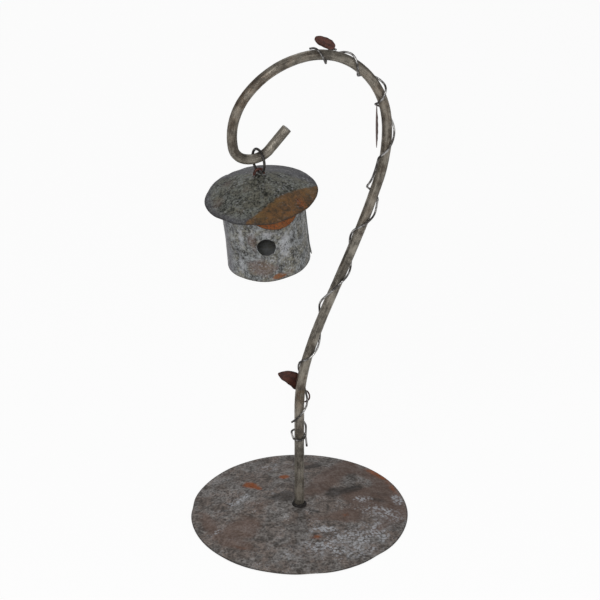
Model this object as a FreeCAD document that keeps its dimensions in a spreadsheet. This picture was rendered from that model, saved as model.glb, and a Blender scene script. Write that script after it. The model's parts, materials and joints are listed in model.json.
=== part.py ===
import FreeCAD
import Part
import Sketcher
import math
import os

# A tin birdhouse, hung by a wire ring from a crook bent out of round bar that stands on a domed
# disc. A wire vine with three tin leaves winds up the bar.
# Frame: +Z up, origin at the middle of the disc's resting face, the crook's plane is XZ, and the
# birdhouse hangs on the -X side. The birdhouse's pieces are made upright about their own Z axis,
# with the roof's rim at zero, and are then leaned and lifted together.

SIZES = [
    ("base_diameter", 177.8, "disc across its edge, 7 in"),
    ("base_sheet", 1.0, "disc sheet"),
    ("base_rise", 8.0, "height of the disc's crown over its edge"),
    ("base_dome_radius", 520.0, "radius of the disc's dome"),
    ("base_land_radius", 9.0, "flat land at the crown"),
    ("base_rim_band", 4.0, "flat band that rests on the table"),
    ("rod_diameter", 8.0, "crook bar, 5/16 in"),
    ("rod_foot", 7.0, "height of the bar's lower end"),
    ("rod_bore_radius", 4.05, "hole for the bar in the disc and the welds"),
    ("weld_radius", 7.6, "weld's toe"),
    ("weld_height", 3.4, "upper weld's height"),
    ("weld_throat", 1.1, "weld's thickness at its thin end"),
    ("under_weld_height", 2.6, "lower weld's height"),
    ("vine_diameter", 1.65, "vine and tie wire"),
    ("stem_diameter", 1.3, "leaf stem wire"),
    ("leaf_sheet", 0.5, "leaf tin"),
    ("leaf_low_length", 27.5, "low leaf from stem to tip"),
    ("leaf_low_width", 10.5, "low leaf across"),
    ("leaf_middle_length", 32.0, "middle leaf from stem to tip"),
    ("leaf_middle_width", 9.0, "middle leaf across"),
    ("leaf_top_length", 20.5, "top leaf from stem to tip"),
    ("leaf_top_width", 7.5, "top leaf across"),
    ("ring_radius", 9.15, "hanging ring, to the middle of its wire"),
    ("ring_wire", 2.1, "hanging ring's wire"),
    ("ring_butt_gap", 0.4, "gap between the ring's two ends"),
    ("ring_turn", 13.0, "turn of the ring's plane about the vertical, degrees"),
    ("ring_x", -32.2, "place of the ring along the crook"),
    ("ring_z", 323.8, "height of the ring's middle"),
    ("eye_wire", 2.2, "roof eye's wire"),
    ("eye_radius", 3.6, "roof eye, to the middle of its wire"),
    ("eye_bend", 1.9, "bend where a leg is clinched under the roof"),
    ("eye_foot", 2.4, "length of each clinched foot"),
    ("eye_x", 0.5, "eye's offset from the roof's axis, across"),
    ("eye_y", 1.0, "eye's offset from the roof's axis, back"),
    ("eye_pivot", 19.4, "height of the ring's wire in the eye, over the roof's rim"),
    ("eye_play", 0.12, "gap between the ring's wire and the eye"),
    ("eye_leg_play", 0.05, "gap round each leg in the roof"),
    ("bead_toe", 2.3, "solder bead round a leg, at the roof"),
    ("bead_top", 1.5, "solder bead round a leg, at its top"),
    ("bead_height", 1.7, "solder bead's height, with the part that the roof cuts off"),
    ("roof_radius", 43.7, "roof's rim"),
    ("roof_height", 17.5, "roof's apex over its rim"),
    ("tin", 0.6, "tin sheet of the birdhouse"),
    ("lap_gap", 0.1, "gap between two laid sheets"),
    ("brim_patch_radius", 19.0, "round edge of the sheet under the roof's brim"),
    ("brim_patch_offset", 28.8, "middle of that round edge from the roof's axis"),
    ("brim_patch_angle", -90.0, "direction of that sheet from +X, degrees"),
    ("brim_patch_reach", 49.0, "radius that the sheet under the brim is cut from"),
    ("wall_radius", 31.6, "wall outside"),
    ("wall_drop", 59.0, "wall's lower edge under the roof's rim"),
    ("wall_rise", 4.05, "wall's upper edge over the roof's rim"),
    ("hole_diameter", 14.3, "entrance hole, 9/16 in"),
    ("hole_drop", 28.4, "entrance hole's middle under the roof's rim"),
    ("hole_angle", -14.8, "entrance hole's direction from -Y, degrees"),
    ("lap_angle", 20.0, "width of the wall's lapped seam, degrees"),
    ("lap_direction", -12.0, "free edge of the lapped seam from +X, degrees"),
    ("seam_bead_angle", 3.0, "width of the seam's solder, degrees"),
    ("floor_lift", 0.3, "floor over the wall's lower edge"),
    ("floor_flange", 3.6, "floor's turned-up flange"),
    ("floor_play", 0.1, "gap between the flange and the wall"),
    ("floor_bead", 0.8, "floor's solder bead"),
    ("roof_bead", 2.0, "solder bead under the roof"),
    ("lean_angle", 7.67, "lean of the birdhouse, degrees"),
    ("lean_direction", 203.7, "direction in which its top leans, from +X, degrees"),
]

# The bar's bends, from its foot to its tip: length of bar and turn, in mm and degrees, where a
# positive turn bends it towards -X. A turn of 0 is a straight stretch.
BENDS = [
    (93.0, 0.0),
    (51.5, -18.0),
    (48.5, -5.5),
    (49.0, 1.0),
    (58.0, 5.0),
    (49.5, 22.5),
    (56.0, 45.5),
    (42.0, 46.5),
    (55.5, 45.5),
    (43.0, 47.5),
    (13.5, 60.0),
    (22.0, 68.5),
    (21.0, 0.0),
]

# Wires wound on the bar, as stations in order: distance along the bar from its foot, turn round it
# in degrees, and gap between wire and bar. 0 is the side inside the crook, and 90 the -Y side.
VINE = [
    (420.0, 250, 0.2),
    (413.0, 180, 0.9),
    (405.5, 90, 0.2),
    (397.5, 0, 0.4),
    (390.0, -90, 0.2),
    (377.0, -180, 1.4),
    (370.5, -270, 0.2),
    (366.0, -360, 1.4),
    (357.0, -450, 0.2),
    (341.5, -540, 0.9),
    (326.0, -630, 0.2),
    (317.5, -712, 0.2),
    (307.0, -718, 0.2),
    (297.0, -726, 0.4),
    (290.5, -742, 1.9),
    (287.0, -810, 0.2),
    (283.0, -895, 0.3),
    (273.0, -915, 1.3),
    (262.5, -990, 0.2),
    (253.5, -1080, 0.2),
    (238.0, -1170, 0.2),
    (223.0, -1260, 0.5),
    (210.0, -1350, 0.2),
    (190.5, -1440, 1.3),
    (176.0, -1530, 0.2),
    (155.0, -1620, 0.5),
    (142.0, -1710, 0.2),
    (135.0, -1800, 0.2),
    (122.0, -1890, 0.2),
    (101.0, -1980, 1.5),
    (90.0, -2070, 0.2),
    (81.5, -2160, 1.4),
]
TOP_TIE = [
    (443.5, 205, 0.2),
    (440.5, 180, 0.7),
    (435.5, 90, 0.2),
    (430.0, 0, 1.6),
    (427.5, -90, 0.2),
    (425.0, -180, 0.2),
]
LOWER_TIE = [
    (58.0, 155, 1.2),
    (66.0, 175, 0.3),
    (71.0, 270, 0.2),
    (71.5, 360, 1.6),
    (67.0, 385, 1.2),
    (66.0, 450, 0.2),
    (69.0, 530, 0.4),
    (76.0, 550, 1.0),
    (81.0, 605, 0.3),
]
STEM_LOW = [
    (106.8, 249, 0.9),
    (107.0, 228, 1.9),
    (106.5, 208, 3.4),
    (104.5, 185, 3.9),
    (100.0, 185, 3.7),
    (97.0, 205, 1.2),
]
LARGEST_STEP = 36.0

size = {alias: value for alias, value, meaning in SIZES}
document = FreeCAD.newDocument("BirdhouseOnCrook")
sheet = document.addObject("Spreadsheet::Sheet", "Sizes")
for row, (alias, value, meaning) in enumerate(SIZES, start=1):
    sheet.set(f"A{row}", meaning)
    sheet.set(f"B{row}", str(value))
    sheet.setAlias(f"B{row}", alias)
document.recompute()

exports = {}


def vector(x, y, z=0.0):
    return FreeCAD.Vector(x, y, z)


# ---------------------------------------------------------------------------------------------
# sketch helpers


def plane_of(body, role):
    """One of a body's own origin planes."""
    return next(item for item in body.Origin.OriginFeatures if item.Role == role)


def new_body(name):
    return document.addObject("PartDesign::Body", name)


def new_sketch(body, name, role):
    sketch = body.newObject("Sketcher::SketchObject", name)
    sketch.AttachmentSupport = (plane_of(body, role), "")
    sketch.MapMode = "FlatFace"
    return sketch


def drive(sketch, kind, where, expression):
    """Adds a sized constraint and binds it to the sheet."""
    value = float(sketch.evalExpression(expression))
    index = sketch.addConstraint(Sketcher.Constraint(kind, *where, value))
    sketch.setExpression(f"Constraints[{index}]", expression)


def place_point(sketch, line, end, x, y):
    """Ties an end of a line to its two distances from the sketch's origin."""
    for kind, axis, expression in (("DistanceX", -2, x), ("DistanceY", -1, y)):
        if abs(float(sketch.evalExpression(expression))) < 1e-9:
            sketch.addConstraint(Sketcher.Constraint("PointOnObject", line, end, axis))
        else:
            drive(sketch, kind, (-1, 1, line, end), expression)


def arc_between(start, end, radius, left):
    """The shorter arc from start to end, with its middle on the left or right of that way."""
    chord = end - start
    half = chord.Length / 2
    sag = radius - math.sqrt(radius**2 - half**2)
    side = vector(-chord.y, chord.x).normalize() * (sag if left else -sag)
    return Part.Arc(start, start + chord * 0.5 + side, end)


def outline(sketch, corners, arcs=None):
    """Closes a loop through corners, which are pairs of expressions.

    A side whose number is in arcs is an arc: its radius, as an expression, and whether it bulges
    to the left of the way that the loop runs.
    """
    arcs = arcs or {}
    points = [vector(*(float(sketch.evalExpression(e)) for e in corner)) for corner in corners]
    ends = []
    for number, start in enumerate(points):
        end = points[(number + 1) % len(points)]
        if number in arcs:
            radius, left = arcs[number]
            curve = arc_between(start, end, float(sketch.evalExpression(radius)), left)
            sketch.addGeometry(curve, False)
            ends.append((2, 1) if left else (1, 2))
        else:
            sketch.addGeometry(Part.LineSegment(start, end), False)
            ends.append((1, 2))
    for number, (first, last) in enumerate(ends):
        after = (number + 1) % len(ends)
        sketch.addConstraint(Sketcher.Constraint("Coincident", number, last, after, ends[after][0]))
    for number, (x, y) in enumerate(corners):
        place_point(sketch, number, ends[number][0], x, y)
    for number, (radius, left) in arcs.items():
        drive(sketch, "Radius", (number,), radius)


def circle(sketch, x, y, radius):
    """A circle whose centre and radius are expressions."""
    place = vector(float(sketch.evalExpression(x)), float(sketch.evalExpression(y)))
    start_radius = float(sketch.evalExpression(radius))
    index = sketch.addGeometry(Part.Circle(place, vector(0, 0, 1), start_radius), False)
    drive(sketch, "Radius", (index,), radius)
    place_point(sketch, index, 3, x, y)


def turned(body, name, corners, arcs=None, angle=None):
    """A revolution of an outline about the body's Z axis."""
    sketch = new_sketch(body, name + "Outline", "XZ_Plane")
    outline(sketch, corners, arcs)
    feature = body.newObject("PartDesign::Revolution", name)
    feature.Profile = sketch
    feature.ReferenceAxis = (sketch, ["V_Axis"])
    if angle:
        feature.setExpression("Angle", angle)
    else:
        feature.Angle = 360.0
    return feature


def keep(node, item):
    item.Label = node
    exports[node] = item


# ---------------------------------------------------------------------------------------------
# routes and wires


def bar_path():
    """The bar's middle line as straight and arc edges, from foot to tip."""
    place = vector(0, size["rod_foot"])
    heading = 90.0
    pieces = []
    for length, turn in BENDS:
        middle = math.radians(heading + turn / 2)
        chord = length * (math.sin(math.radians(turn / 2)) / math.radians(turn / 2) if turn else 1.0)
        after = place + vector(math.cos(middle), math.sin(middle)) * chord
        if turn:
            radius = length / math.radians(abs(turn))
            pieces.append(arc_between(place, after, radius, turn < 0))
        else:
            pieces.append(Part.LineSegment(place, after))
        place = after
        heading += turn
    return pieces


def bar_frame(distance):
    """Place on the bar's middle line, and the unit side that faces inside the crook, in XZ."""
    place = vector(0, size["rod_foot"])
    heading = 90.0
    left = distance
    for length, turn in BENDS:
        part = min(left, length)
        swung = turn * part / length
        middle = math.radians(heading + swung / 2)
        half = math.radians(swung / 2)
        chord = part * (math.sin(half) / half if abs(half) > 1e-9 else 1.0)
        place = place + vector(math.cos(middle), math.sin(middle)) * chord
        heading += swung
        left -= part
        if left <= 0:
            break
    side = math.radians(heading + 90)
    return vector(place.x, 0, place.y), vector(math.cos(side), 0, math.sin(side))


def round_bar_point(distance, turn, reach):
    """A point at a reach from the bar's middle line, turned round it from the crook's inside."""
    place, inside = bar_frame(distance)
    front = vector(0, -1, 0)
    angle = math.radians(turn)
    return place + inside * (math.cos(angle) * reach) + front * (math.sin(angle) * reach)


def wound_points(stations, wire):
    """Route points between stations, close enough that the straight runs clear the bar."""
    points = []
    for (s0, turn0, gap0), (s1, turn1, gap1) in zip(stations, stations[1:]):
        count = max(1, math.ceil(abs(turn1 - turn0) / LARGEST_STEP))
        step = math.radians(abs(turn1 - turn0) / count)
        for number in range(count):
            share = number / count
            gap = gap0 + (gap1 - gap0) * (1 - math.cos(math.pi * share)) / 2
            reach = (size["rod_diameter"] / 2 + wire / 2 + gap) / math.cos(step / 2)
            points.append(round_bar_point(s0 + (s1 - s0) * share, turn0 + (turn1 - turn0) * share, reach))
    s1, turn1, gap1 = stations[-1]
    points.append(round_bar_point(s1, turn1, size["rod_diameter"] / 2 + wire / 2 + gap1))
    return points


def rounded_route(points):
    """Straight runs joined by tangent arcs, each as large as its two runs allow."""
    edges = []
    here = points[0]
    for before, corner, after in zip(points, points[1:], points[2:]):
        back = before - corner
        onward = after - corner
        reach = 0.45 * min(back.Length, onward.Length)
        back.normalize()
        onward.normalize()
        enter = corner + back * reach
        leave = corner + onward * reach
        half = back.getAngle(onward) / 2
        radius = reach * math.tan(half)
        inward = (back + onward).normalize()
        middle = corner + inward * (radius / math.sin(half) - radius)
        edges.append(Part.LineSegment(here, enter).toShape())
        edges.append(Part.Arc(enter, middle, leave).toShape())
        here = leave
    edges.append(Part.LineSegment(here, points[-1]).toShape())
    return Part.Wire(edges)


def wire_along(node, points, diameter):
    """A round wire along a rounded route."""
    route = rounded_route(points)
    start = route.Edges[0]
    ring = Part.Circle(start.valueAt(start.FirstParameter), start.tangentAt(start.FirstParameter), diameter / 2)
    solid = route.makePipeShell([Part.Wire([ring.toShape()])], True, False)
    expected = math.pi * diameter**2 / 4 * route.Length
    print(f"{node}: length {route.Length:.1f}, volume ratio {solid.Volume / expected:.4f}")
    item = document.addObject("Part::Feature", node + "_solid")
    item.Shape = solid
    keep(node, item)


# ---------------------------------------------------------------------------------------------
# stand


def base_disc():
    body = new_body("BaseDisc")
    rim_start = "Sizes.base_diameter / 2 - Sizes.base_rim_band"
    edge = "Sizes.base_diameter / 2"
    upper = "Sizes.base_rise + Sizes.base_sheet"
    corners = [
        ("Sizes.rod_bore_radius", "Sizes.base_rise"),
        ("Sizes.base_land_radius", "Sizes.base_rise"),
        (rim_start, "0"),
        (edge, "0"),
        (edge, "Sizes.base_sheet"),
        (rim_start, "Sizes.base_sheet"),
        ("Sizes.base_land_radius", upper),
        ("Sizes.rod_bore_radius", upper),
    ]
    turned(body, "Dome", corners, {1: ("Sizes.base_dome_radius", True), 5: ("Sizes.base_dome_radius", False)})
    keep("base_disc", body)


def foot_welds():
    upper = "Sizes.base_rise + Sizes.base_sheet"
    body = new_body("FootWeld")
    corners = [
        ("Sizes.rod_bore_radius", upper),
        ("Sizes.weld_radius", upper),
        ("Sizes.rod_bore_radius + Sizes.weld_throat", upper + " + Sizes.weld_height * 0.45"),
        ("Sizes.rod_bore_radius + Sizes.weld_throat * 0.4", upper + " + Sizes.weld_height"),
        ("Sizes.rod_bore_radius", upper + " + Sizes.weld_height"),
    ]
    turned(body, "UpperBead", corners)
    keep("foot_weld", body)
    body = new_body("UnderWeld")
    corners = [
        ("Sizes.rod_bore_radius", "Sizes.base_rise"),
        ("Sizes.weld_radius", "Sizes.base_rise"),
        ("Sizes.rod_bore_radius + Sizes.weld_throat", "Sizes.base_rise - Sizes.under_weld_height * 0.7"),
        ("Sizes.rod_bore_radius", "Sizes.base_rise - Sizes.under_weld_height"),
    ]
    turned(body, "LowerBead", corners)
    keep("under_weld", body)


def crook_rod():
    body = new_body("CrookRod")
    path = new_sketch(body, "BarPath", "XZ_Plane")
    for curve in bar_path():
        path.addGeometry(curve, False)
    section = new_sketch(body, "BarSection", "XY_Plane")
    section.setExpression("AttachmentOffset.Base.z", "Sizes.rod_foot")
    circle(section, "0", "0", "Sizes.rod_diameter / 2")
    pipe = body.newObject("PartDesign::AdditivePipe", "Bar")
    pipe.Profile = section
    pipe.Spine = path
    document.recompute()
    keep("crook_rod", body)


def leaf(node, place, tip_direction, face_direction):
    """A pointed oval of tin from its stem end towards its tip, padded about its own plane."""
    title = "".join(word.capitalize() for word in node.split("_"))
    body = new_body(title)
    sketch = new_sketch(body, title + "Outline", "XY_Plane")
    length = f"Sizes.{node}_length"
    width = f"Sizes.{node}_width"
    radius = f"({length}^2 + {width}^2) / (4 * {width})"
    outline(sketch, [("0", "0"), (length, "0")], {0: (radius, False), 1: (radius, False)})
    pad = body.newObject("PartDesign::Pad", title + "Tin")
    pad.Profile = sketch
    pad.setExpression("Length", "Sizes.leaf_sheet")
    pad.Midplane = True
    along = vector(*tip_direction).normalize()
    face = vector(*face_direction)
    face = (face - along * face.dot(along)).normalize()
    across = face.cross(along)
    matrix = FreeCAD.Matrix(
        along.x, across.x, face.x, place[0],
        along.y, across.y, face.y, place[1],
        along.z, across.z, face.z, place[2],
        0, 0, 0, 1,
    )
    body.Placement = FreeCAD.Placement(matrix)
    keep(node, body)


# ---------------------------------------------------------------------------------------------
# ring and birdhouse


def hanger_ring():
    ring = document.addObject("Part::Torus", "RingWire")
    ring.setExpression("Radius1", "Sizes.ring_radius")
    ring.setExpression("Radius2", "Sizes.ring_wire / 2")
    gap = document.addObject("Part::Box", "RingGap")
    gap.setExpression("Length", "Sizes.ring_wire * 2")
    gap.setExpression("Width", "Sizes.ring_butt_gap")
    gap.setExpression("Height", "Sizes.ring_wire * 2")
    gap.setExpression("Placement.Base.x", "Sizes.ring_radius - Sizes.ring_wire")
    gap.setExpression("Placement.Base.y", "-Sizes.ring_butt_gap / 2")
    gap.setExpression("Placement.Base.z", "-Sizes.ring_wire")
    cut = document.addObject("Part::Cut", "Ring")
    cut.Base = ring
    cut.Tool = gap
    # the ring stands upright, with its two ends meeting at the back, level with its middle
    upright = FreeCAD.Rotation(vector(0, 1, 0), 90)
    ends_back = FreeCAD.Rotation(vector(1, 0, 0), 90)
    turn = FreeCAD.Rotation(vector(0, 0, 1), size["ring_turn"])
    place = vector(size["ring_x"], 0, size["ring_z"])
    cut.Placement = FreeCAD.Placement(place, turn * ends_back * upright)
    keep("hanger_ring", cut)


def birdhouse_placement():
    """Lean of the birdhouse about its eye, which carries the ring's lowest point."""
    heading = math.radians(size["lean_direction"])
    axis = vector(-math.sin(heading), math.cos(heading), 0)
    lean = FreeCAD.Rotation(axis, size["lean_angle"])
    pivot = vector(size["ring_x"], 0, size["ring_z"] - size["ring_radius"])
    own = vector(size["eye_x"], size["eye_y"], size["eye_pivot"])
    return FreeCAD.Placement(pivot - lean.multVec(own), lean)


def hang(node, item, spin=0.0):
    """Places a birdhouse piece, turned about the birdhouse's own axis first."""
    own = FreeCAD.Placement(vector(0, 0, 0), FreeCAD.Rotation(vector(0, 0, 1), spin))
    item.Placement = birdhouse_placement() * own
    keep(node, item)


def roof_eye():
    body = new_body("RoofEye")
    top = size["eye_pivot"] + size["ring_wire"] / 2 + size["eye_play"] + size["eye_wire"] / 2
    shoulder = top - size["eye_radius"]
    leg = size["eye_radius"]
    bend = size["eye_bend"]
    roof_there = size["roof_height"] * (1 - leg / size["roof_radius"])
    foot = roof_there - size["tin"] - size["eye_wire"] - 1.2
    reach = leg + bend + size["eye_foot"]
    path = new_sketch(body, "EyePath", "XZ_Plane")
    diagonal = bend * (1 - math.sqrt(0.5))
    pieces = [
        Part.LineSegment(vector(-reach, foot), vector(-leg - bend, foot)),
        Part.Arc(vector(-leg - bend, foot), vector(-leg - diagonal, foot + diagonal), vector(-leg, foot + bend)),
        Part.LineSegment(vector(-leg, foot + bend), vector(-leg, shoulder)),
        Part.Arc(vector(-leg, shoulder), vector(0, top), vector(leg, shoulder)),
        Part.LineSegment(vector(leg, shoulder), vector(leg, foot + bend)),
        Part.Arc(vector(leg, foot + bend), vector(leg + diagonal, foot + diagonal), vector(leg + bend, foot)),
        Part.LineSegment(vector(leg + bend, foot), vector(reach, foot)),
    ]
    for piece in pieces:
        path.addGeometry(piece, False)
    section = new_sketch(body, "EyeSection", "YZ_Plane")
    section.AttachmentOffset = FreeCAD.Placement(vector(0, 0, -reach), FreeCAD.Rotation())
    round_section = section.addGeometry(Part.Circle(vector(0, foot), vector(0, 0, 1), size["eye_wire"] / 2), False)
    drive(section, "Radius", (round_section,), "Sizes.eye_wire / 2")
    pipe = body.newObject("PartDesign::AdditivePipe", "EyeWire")
    pipe.Profile = section
    pipe.Spine = path
    offset = FreeCAD.Placement(vector(size["eye_x"], size["eye_y"], 0), FreeCAD.Rotation())
    body.Placement = birdhouse_placement() * offset
    keep("roof_eye", body)


def roof_blank(name, lower=0.0):
    """A solid cone with the roof's upper slope, lowered by some amount."""
    cone = document.addObject("Part::Cone", name)
    cone.setExpression("Radius1", "Sizes.brim_patch_reach")
    cone.Radius2 = 0.0
    cone.setExpression("Height", "Sizes.brim_patch_reach * Sizes.roof_height / Sizes.roof_radius")
    under = "Sizes.roof_height - Sizes.brim_patch_reach * Sizes.roof_height / Sizes.roof_radius"
    cone.setExpression("Placement.Base.z", f"{under} - {lower}")
    return cone


def upright_cylinder(name, radius, x="0", y="0", low="-50", height="100"):
    cylinder = document.addObject("Part::Cylinder", name)
    cylinder.setExpression("Radius", radius)
    cylinder.setExpression("Height", height)
    cylinder.setExpression("Placement.Base.x", x)
    cylinder.setExpression("Placement.Base.y", y)
    cylinder.setExpression("Placement.Base.z", low)
    return cylinder


def boolean(kind, name, base, tool):
    feature = document.addObject(kind, name)
    feature.Base = base
    feature.Tool = tool
    return feature


def eye_solder():
    """Two beads round the eye's legs, cut off by the roof's slope below."""
    beads = []
    for side, sign in (("Left", "-"), ("Right", "+")):
        across = f"Sizes.eye_x {sign} Sizes.eye_radius"
        bead = document.addObject("Part::Cone", f"Bead{side}")
        bead.setExpression("Radius1", "Sizes.bead_toe")
        bead.setExpression("Radius2", "Sizes.bead_top")
        bead.setExpression("Height", "Sizes.bead_height")
        bead.setExpression("Placement.Base.x", across)
        bead.setExpression("Placement.Base.y", "Sizes.eye_y")
        drop = "Sizes.roof_height * (1 - (Sizes.eye_radius + Sizes.bead_toe) / Sizes.roof_radius)"
        bead.setExpression("Placement.Base.z", f"{drop} - 0.2")
        leg = upright_cylinder(f"Leg{side}", "Sizes.eye_wire / 2", across, "Sizes.eye_y")
        beads.append(boolean("Part::Cut", f"BeadRound{side}", bead, leg))
    pair = boolean("Part::Fuse", "BeadPair", *beads)
    cut = boolean("Part::Cut", "EyeBeads", pair, roof_blank("RoofUnderBeads"))
    hang("eye_solder", cut)


def roof_cone():
    body = new_body("RoofCone")
    corners = [
        ("0", "Sizes.roof_height - Sizes.tin"),
        ("Sizes.roof_radius", "-Sizes.tin"),
        ("Sizes.roof_radius", "0"),
        ("0", "Sizes.roof_height"),
    ]
    turned(body, "Cone", corners)
    holes = new_sketch(body, "EyeHoles", "XY_Plane")
    for sign in ("-", "+"):
        across = f"Sizes.eye_x {sign} Sizes.eye_radius"
        circle(holes, across, "Sizes.eye_y", "Sizes.eye_wire / 2 + Sizes.eye_leg_play")
    pocket = body.newObject("PartDesign::Pocket", "EyeHolesCut")
    pocket.Profile = holes
    pocket.Reversed = True
    pocket.setExpression("Length", "Sizes.roof_height * 2")
    hang("roof_cone", body)


def brim_under_sheet():
    """A second sheet under the front of the roof, whose round edge stands out past the rim."""
    upper = roof_blank("BrimUpper", "Sizes.tin - Sizes.lap_gap")
    lower = roof_blank("BrimLower", "2 * Sizes.tin - Sizes.lap_gap")
    shell = boolean("Part::Cut", "BrimShell", upper, lower)
    edge = upright_cylinder("BrimEdge", "Sizes.brim_patch_radius", "Sizes.brim_patch_offset")
    patch = boolean("Part::Common", "BrimPatch", shell, edge)
    wall = upright_cylinder("BrimWall", "Sizes.wall_radius + Sizes.tin + Sizes.lap_gap")
    cut = boolean("Part::Cut", "BrimSheet", patch, wall)
    hang("brim_under_sheet", cut, size["brim_patch_angle"])


def wall_shell():
    """The rolled wall with its entrance hole and its lapped seam."""
    body = new_body("WallShell")
    ring = new_sketch(body, "WallRing", "XY_Plane")
    ring.setExpression("AttachmentOffset.Base.z", "-Sizes.wall_drop")
    circle(ring, "0", "0", "Sizes.wall_radius")
    circle(ring, "0", "0", "Sizes.wall_radius - Sizes.tin")
    pad = body.newObject("PartDesign::Pad", "WallTube")
    pad.Profile = ring
    pad.setExpression("Length", "Sizes.wall_drop + Sizes.wall_rise")
    lap = new_sketch(body, "LapOutline", "XZ_Plane")
    # the lap's turn is measured from the hole, because the whole wall is turned to place the hole
    start = size["lap_direction"] - size["hole_angle"]
    lap.AttachmentOffset = FreeCAD.Placement(vector(0, 0, 0), FreeCAD.Rotation(vector(0, 1, 0), start))
    corners = [
        ("Sizes.wall_radius - Sizes.tin / 2", "-Sizes.wall_drop"),
        ("Sizes.wall_radius + Sizes.tin", "-Sizes.wall_drop"),
        ("Sizes.wall_radius + Sizes.tin", "Sizes.wall_rise - Sizes.tin"),
        ("Sizes.wall_radius - Sizes.tin / 2", "Sizes.wall_rise - Sizes.tin"),
    ]
    outline(lap, corners)
    swept = body.newObject("PartDesign::Revolution", "SeamLap")
    swept.Profile = lap
    swept.ReferenceAxis = (lap, ["V_Axis"])
    swept.setExpression("Angle", "Sizes.lap_angle")
    hole = new_sketch(body, "HoleOutline", "XZ_Plane")
    circle(hole, "0", "-Sizes.hole_drop", "Sizes.hole_diameter / 2")
    document.recompute()
    before = body.Shape.Volume
    pocket = body.newObject("PartDesign::Pocket", "EntranceHole")
    pocket.Profile = hole
    pocket.Reversed = True
    pocket.setExpression("Length", "Sizes.wall_radius * 2")
    document.recompute()
    print(f"wall_shell: entrance hole takes {before - body.Shape.Volume:.1f}")
    hang("wall_shell", body, size["hole_angle"])


def seam_solder():
    body = new_body("SeamSolder")
    corners = [
        ("Sizes.wall_radius + 0.02", "-Sizes.wall_drop"),
        ("Sizes.wall_radius + Sizes.tin * 0.8", "-Sizes.wall_drop"),
        ("Sizes.wall_radius + Sizes.tin * 0.8", "Sizes.wall_rise - Sizes.tin"),
        ("Sizes.wall_radius + 0.02", "Sizes.wall_rise - Sizes.tin"),
    ]
    bead = turned(body, "SeamBead", corners, None, "Sizes.seam_bead_angle")
    bead.Reversed = True
    hang("seam_solder", body, size["lap_direction"] - 0.1)


def floor_pan():
    body = new_body("FloorPan")
    outer = "Sizes.wall_radius - Sizes.tin - Sizes.floor_play"
    low = "-Sizes.wall_drop + Sizes.floor_lift"
    corners = [
        ("0", low),
        (outer, low),
        (outer, f"{low} + Sizes.floor_flange"),
        (f"{outer} - Sizes.tin", f"{low} + Sizes.floor_flange"),
        (f"{outer} - Sizes.tin", f"{low} + Sizes.tin"),
        ("0", f"{low} + Sizes.tin"),
    ]
    turned(body, "Pan", corners)
    hang("floor_pan", body)


def inner_beads():
    """Solder between the floor's flange and the wall, and between the wall and the roof."""
    wall = "Sizes.wall_radius - Sizes.tin - 0.02"
    low = "-Sizes.wall_drop + Sizes.floor_lift + Sizes.floor_flange + 0.02"
    body = new_body("FloorSolder")
    corners = [
        (f"{wall} - Sizes.floor_bead", low),
        (wall, low),
        (wall, f"{low} + Sizes.floor_bead"),
    ]
    turned(body, "FloorBead", corners)
    hang("floor_solder", body)
    body = new_body("RoofSolder")
    slope = "Sizes.roof_height / Sizes.roof_radius"
    under = f"Sizes.roof_height - Sizes.tin - 0.05 - {slope}"
    inner = f"{wall} - Sizes.roof_bead"
    corners = [
        (wall, f"{under} * ({wall})"),
        (inner, f"{under} * ({inner})"),
        (wall, f"{under} * ({wall}) - Sizes.roof_bead"),
    ]
    turned(body, "RoofBead", corners)
    hang("roof_solder", body)


# ---------------------------------------------------------------------------------------------

base_disc()
foot_welds()
crook_rod()
wire_along("vine_wire", wound_points(VINE, size["vine_diameter"]), size["vine_diameter"])
wire_along("top_tie_wire", wound_points(TOP_TIE, size["vine_diameter"]), size["vine_diameter"])
wire_along("lower_tie_wire", wound_points(LOWER_TIE, size["vine_diameter"]), size["vine_diameter"])
wire_along("low_leaf_stem", wound_points(STEM_LOW, size["stem_diameter"]), size["stem_diameter"])
leaf("leaf_low", (2.4, 5.2, 114.0), (-0.70, 0.0, 0.72), (0.0, -1.0, 0.0))
leaf("leaf_middle", (62.6, -1.5, 354.0), (-0.065, 0.0, -1.0), (0.956, -0.292, 0.0))
leaf("leaf_top", (28.0, 0.0, 408.9), (-0.85, 0.0, 0.52), (0.0, -1.0, 0.25))
hanger_ring()
roof_eye()
eye_solder()
roof_cone()
brim_under_sheet()
wall_shell()
seam_solder()
floor_pan()
inner_beads()
document.recompute()

for item in document.Objects:
    if "Invalid" in item.State or "Error" in item.State:
        raise RuntimeError(f"{item.Name} failed: {item.State}")
for node, item in exports.items():
    if item.Shape.isNull() or not item.Shape.isValid():
        raise RuntimeError(f"{node} has no valid shape")

os.makedirs("parts", exist_ok=True)
for node, item in exports.items():
    item.Shape.exportStep(f"parts/{node}.step")
    box = item.Shape.BoundBox
    print(f"{node}: {len(item.Shape.Solids)} solid, {item.Shape.Volume:.1f} mm3, "
          f"x {box.XMin:.1f}..{box.XMax:.1f}, y {box.YMin:.1f}..{box.YMax:.1f}, z {box.ZMin:.1f}..{box.ZMax:.1f}")
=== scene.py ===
"""Looks of a tin birdhouse that hangs by a ring from a crook of round bar.

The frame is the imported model: its ring, staple, wires, floor and inner solder keep their shape and
get their finish here. The disc, the bar, the welds, the leaves, the roof, the wall and the outer
solder are made again with the dents, laps and edges of hand-worked tin.
"""

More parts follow.
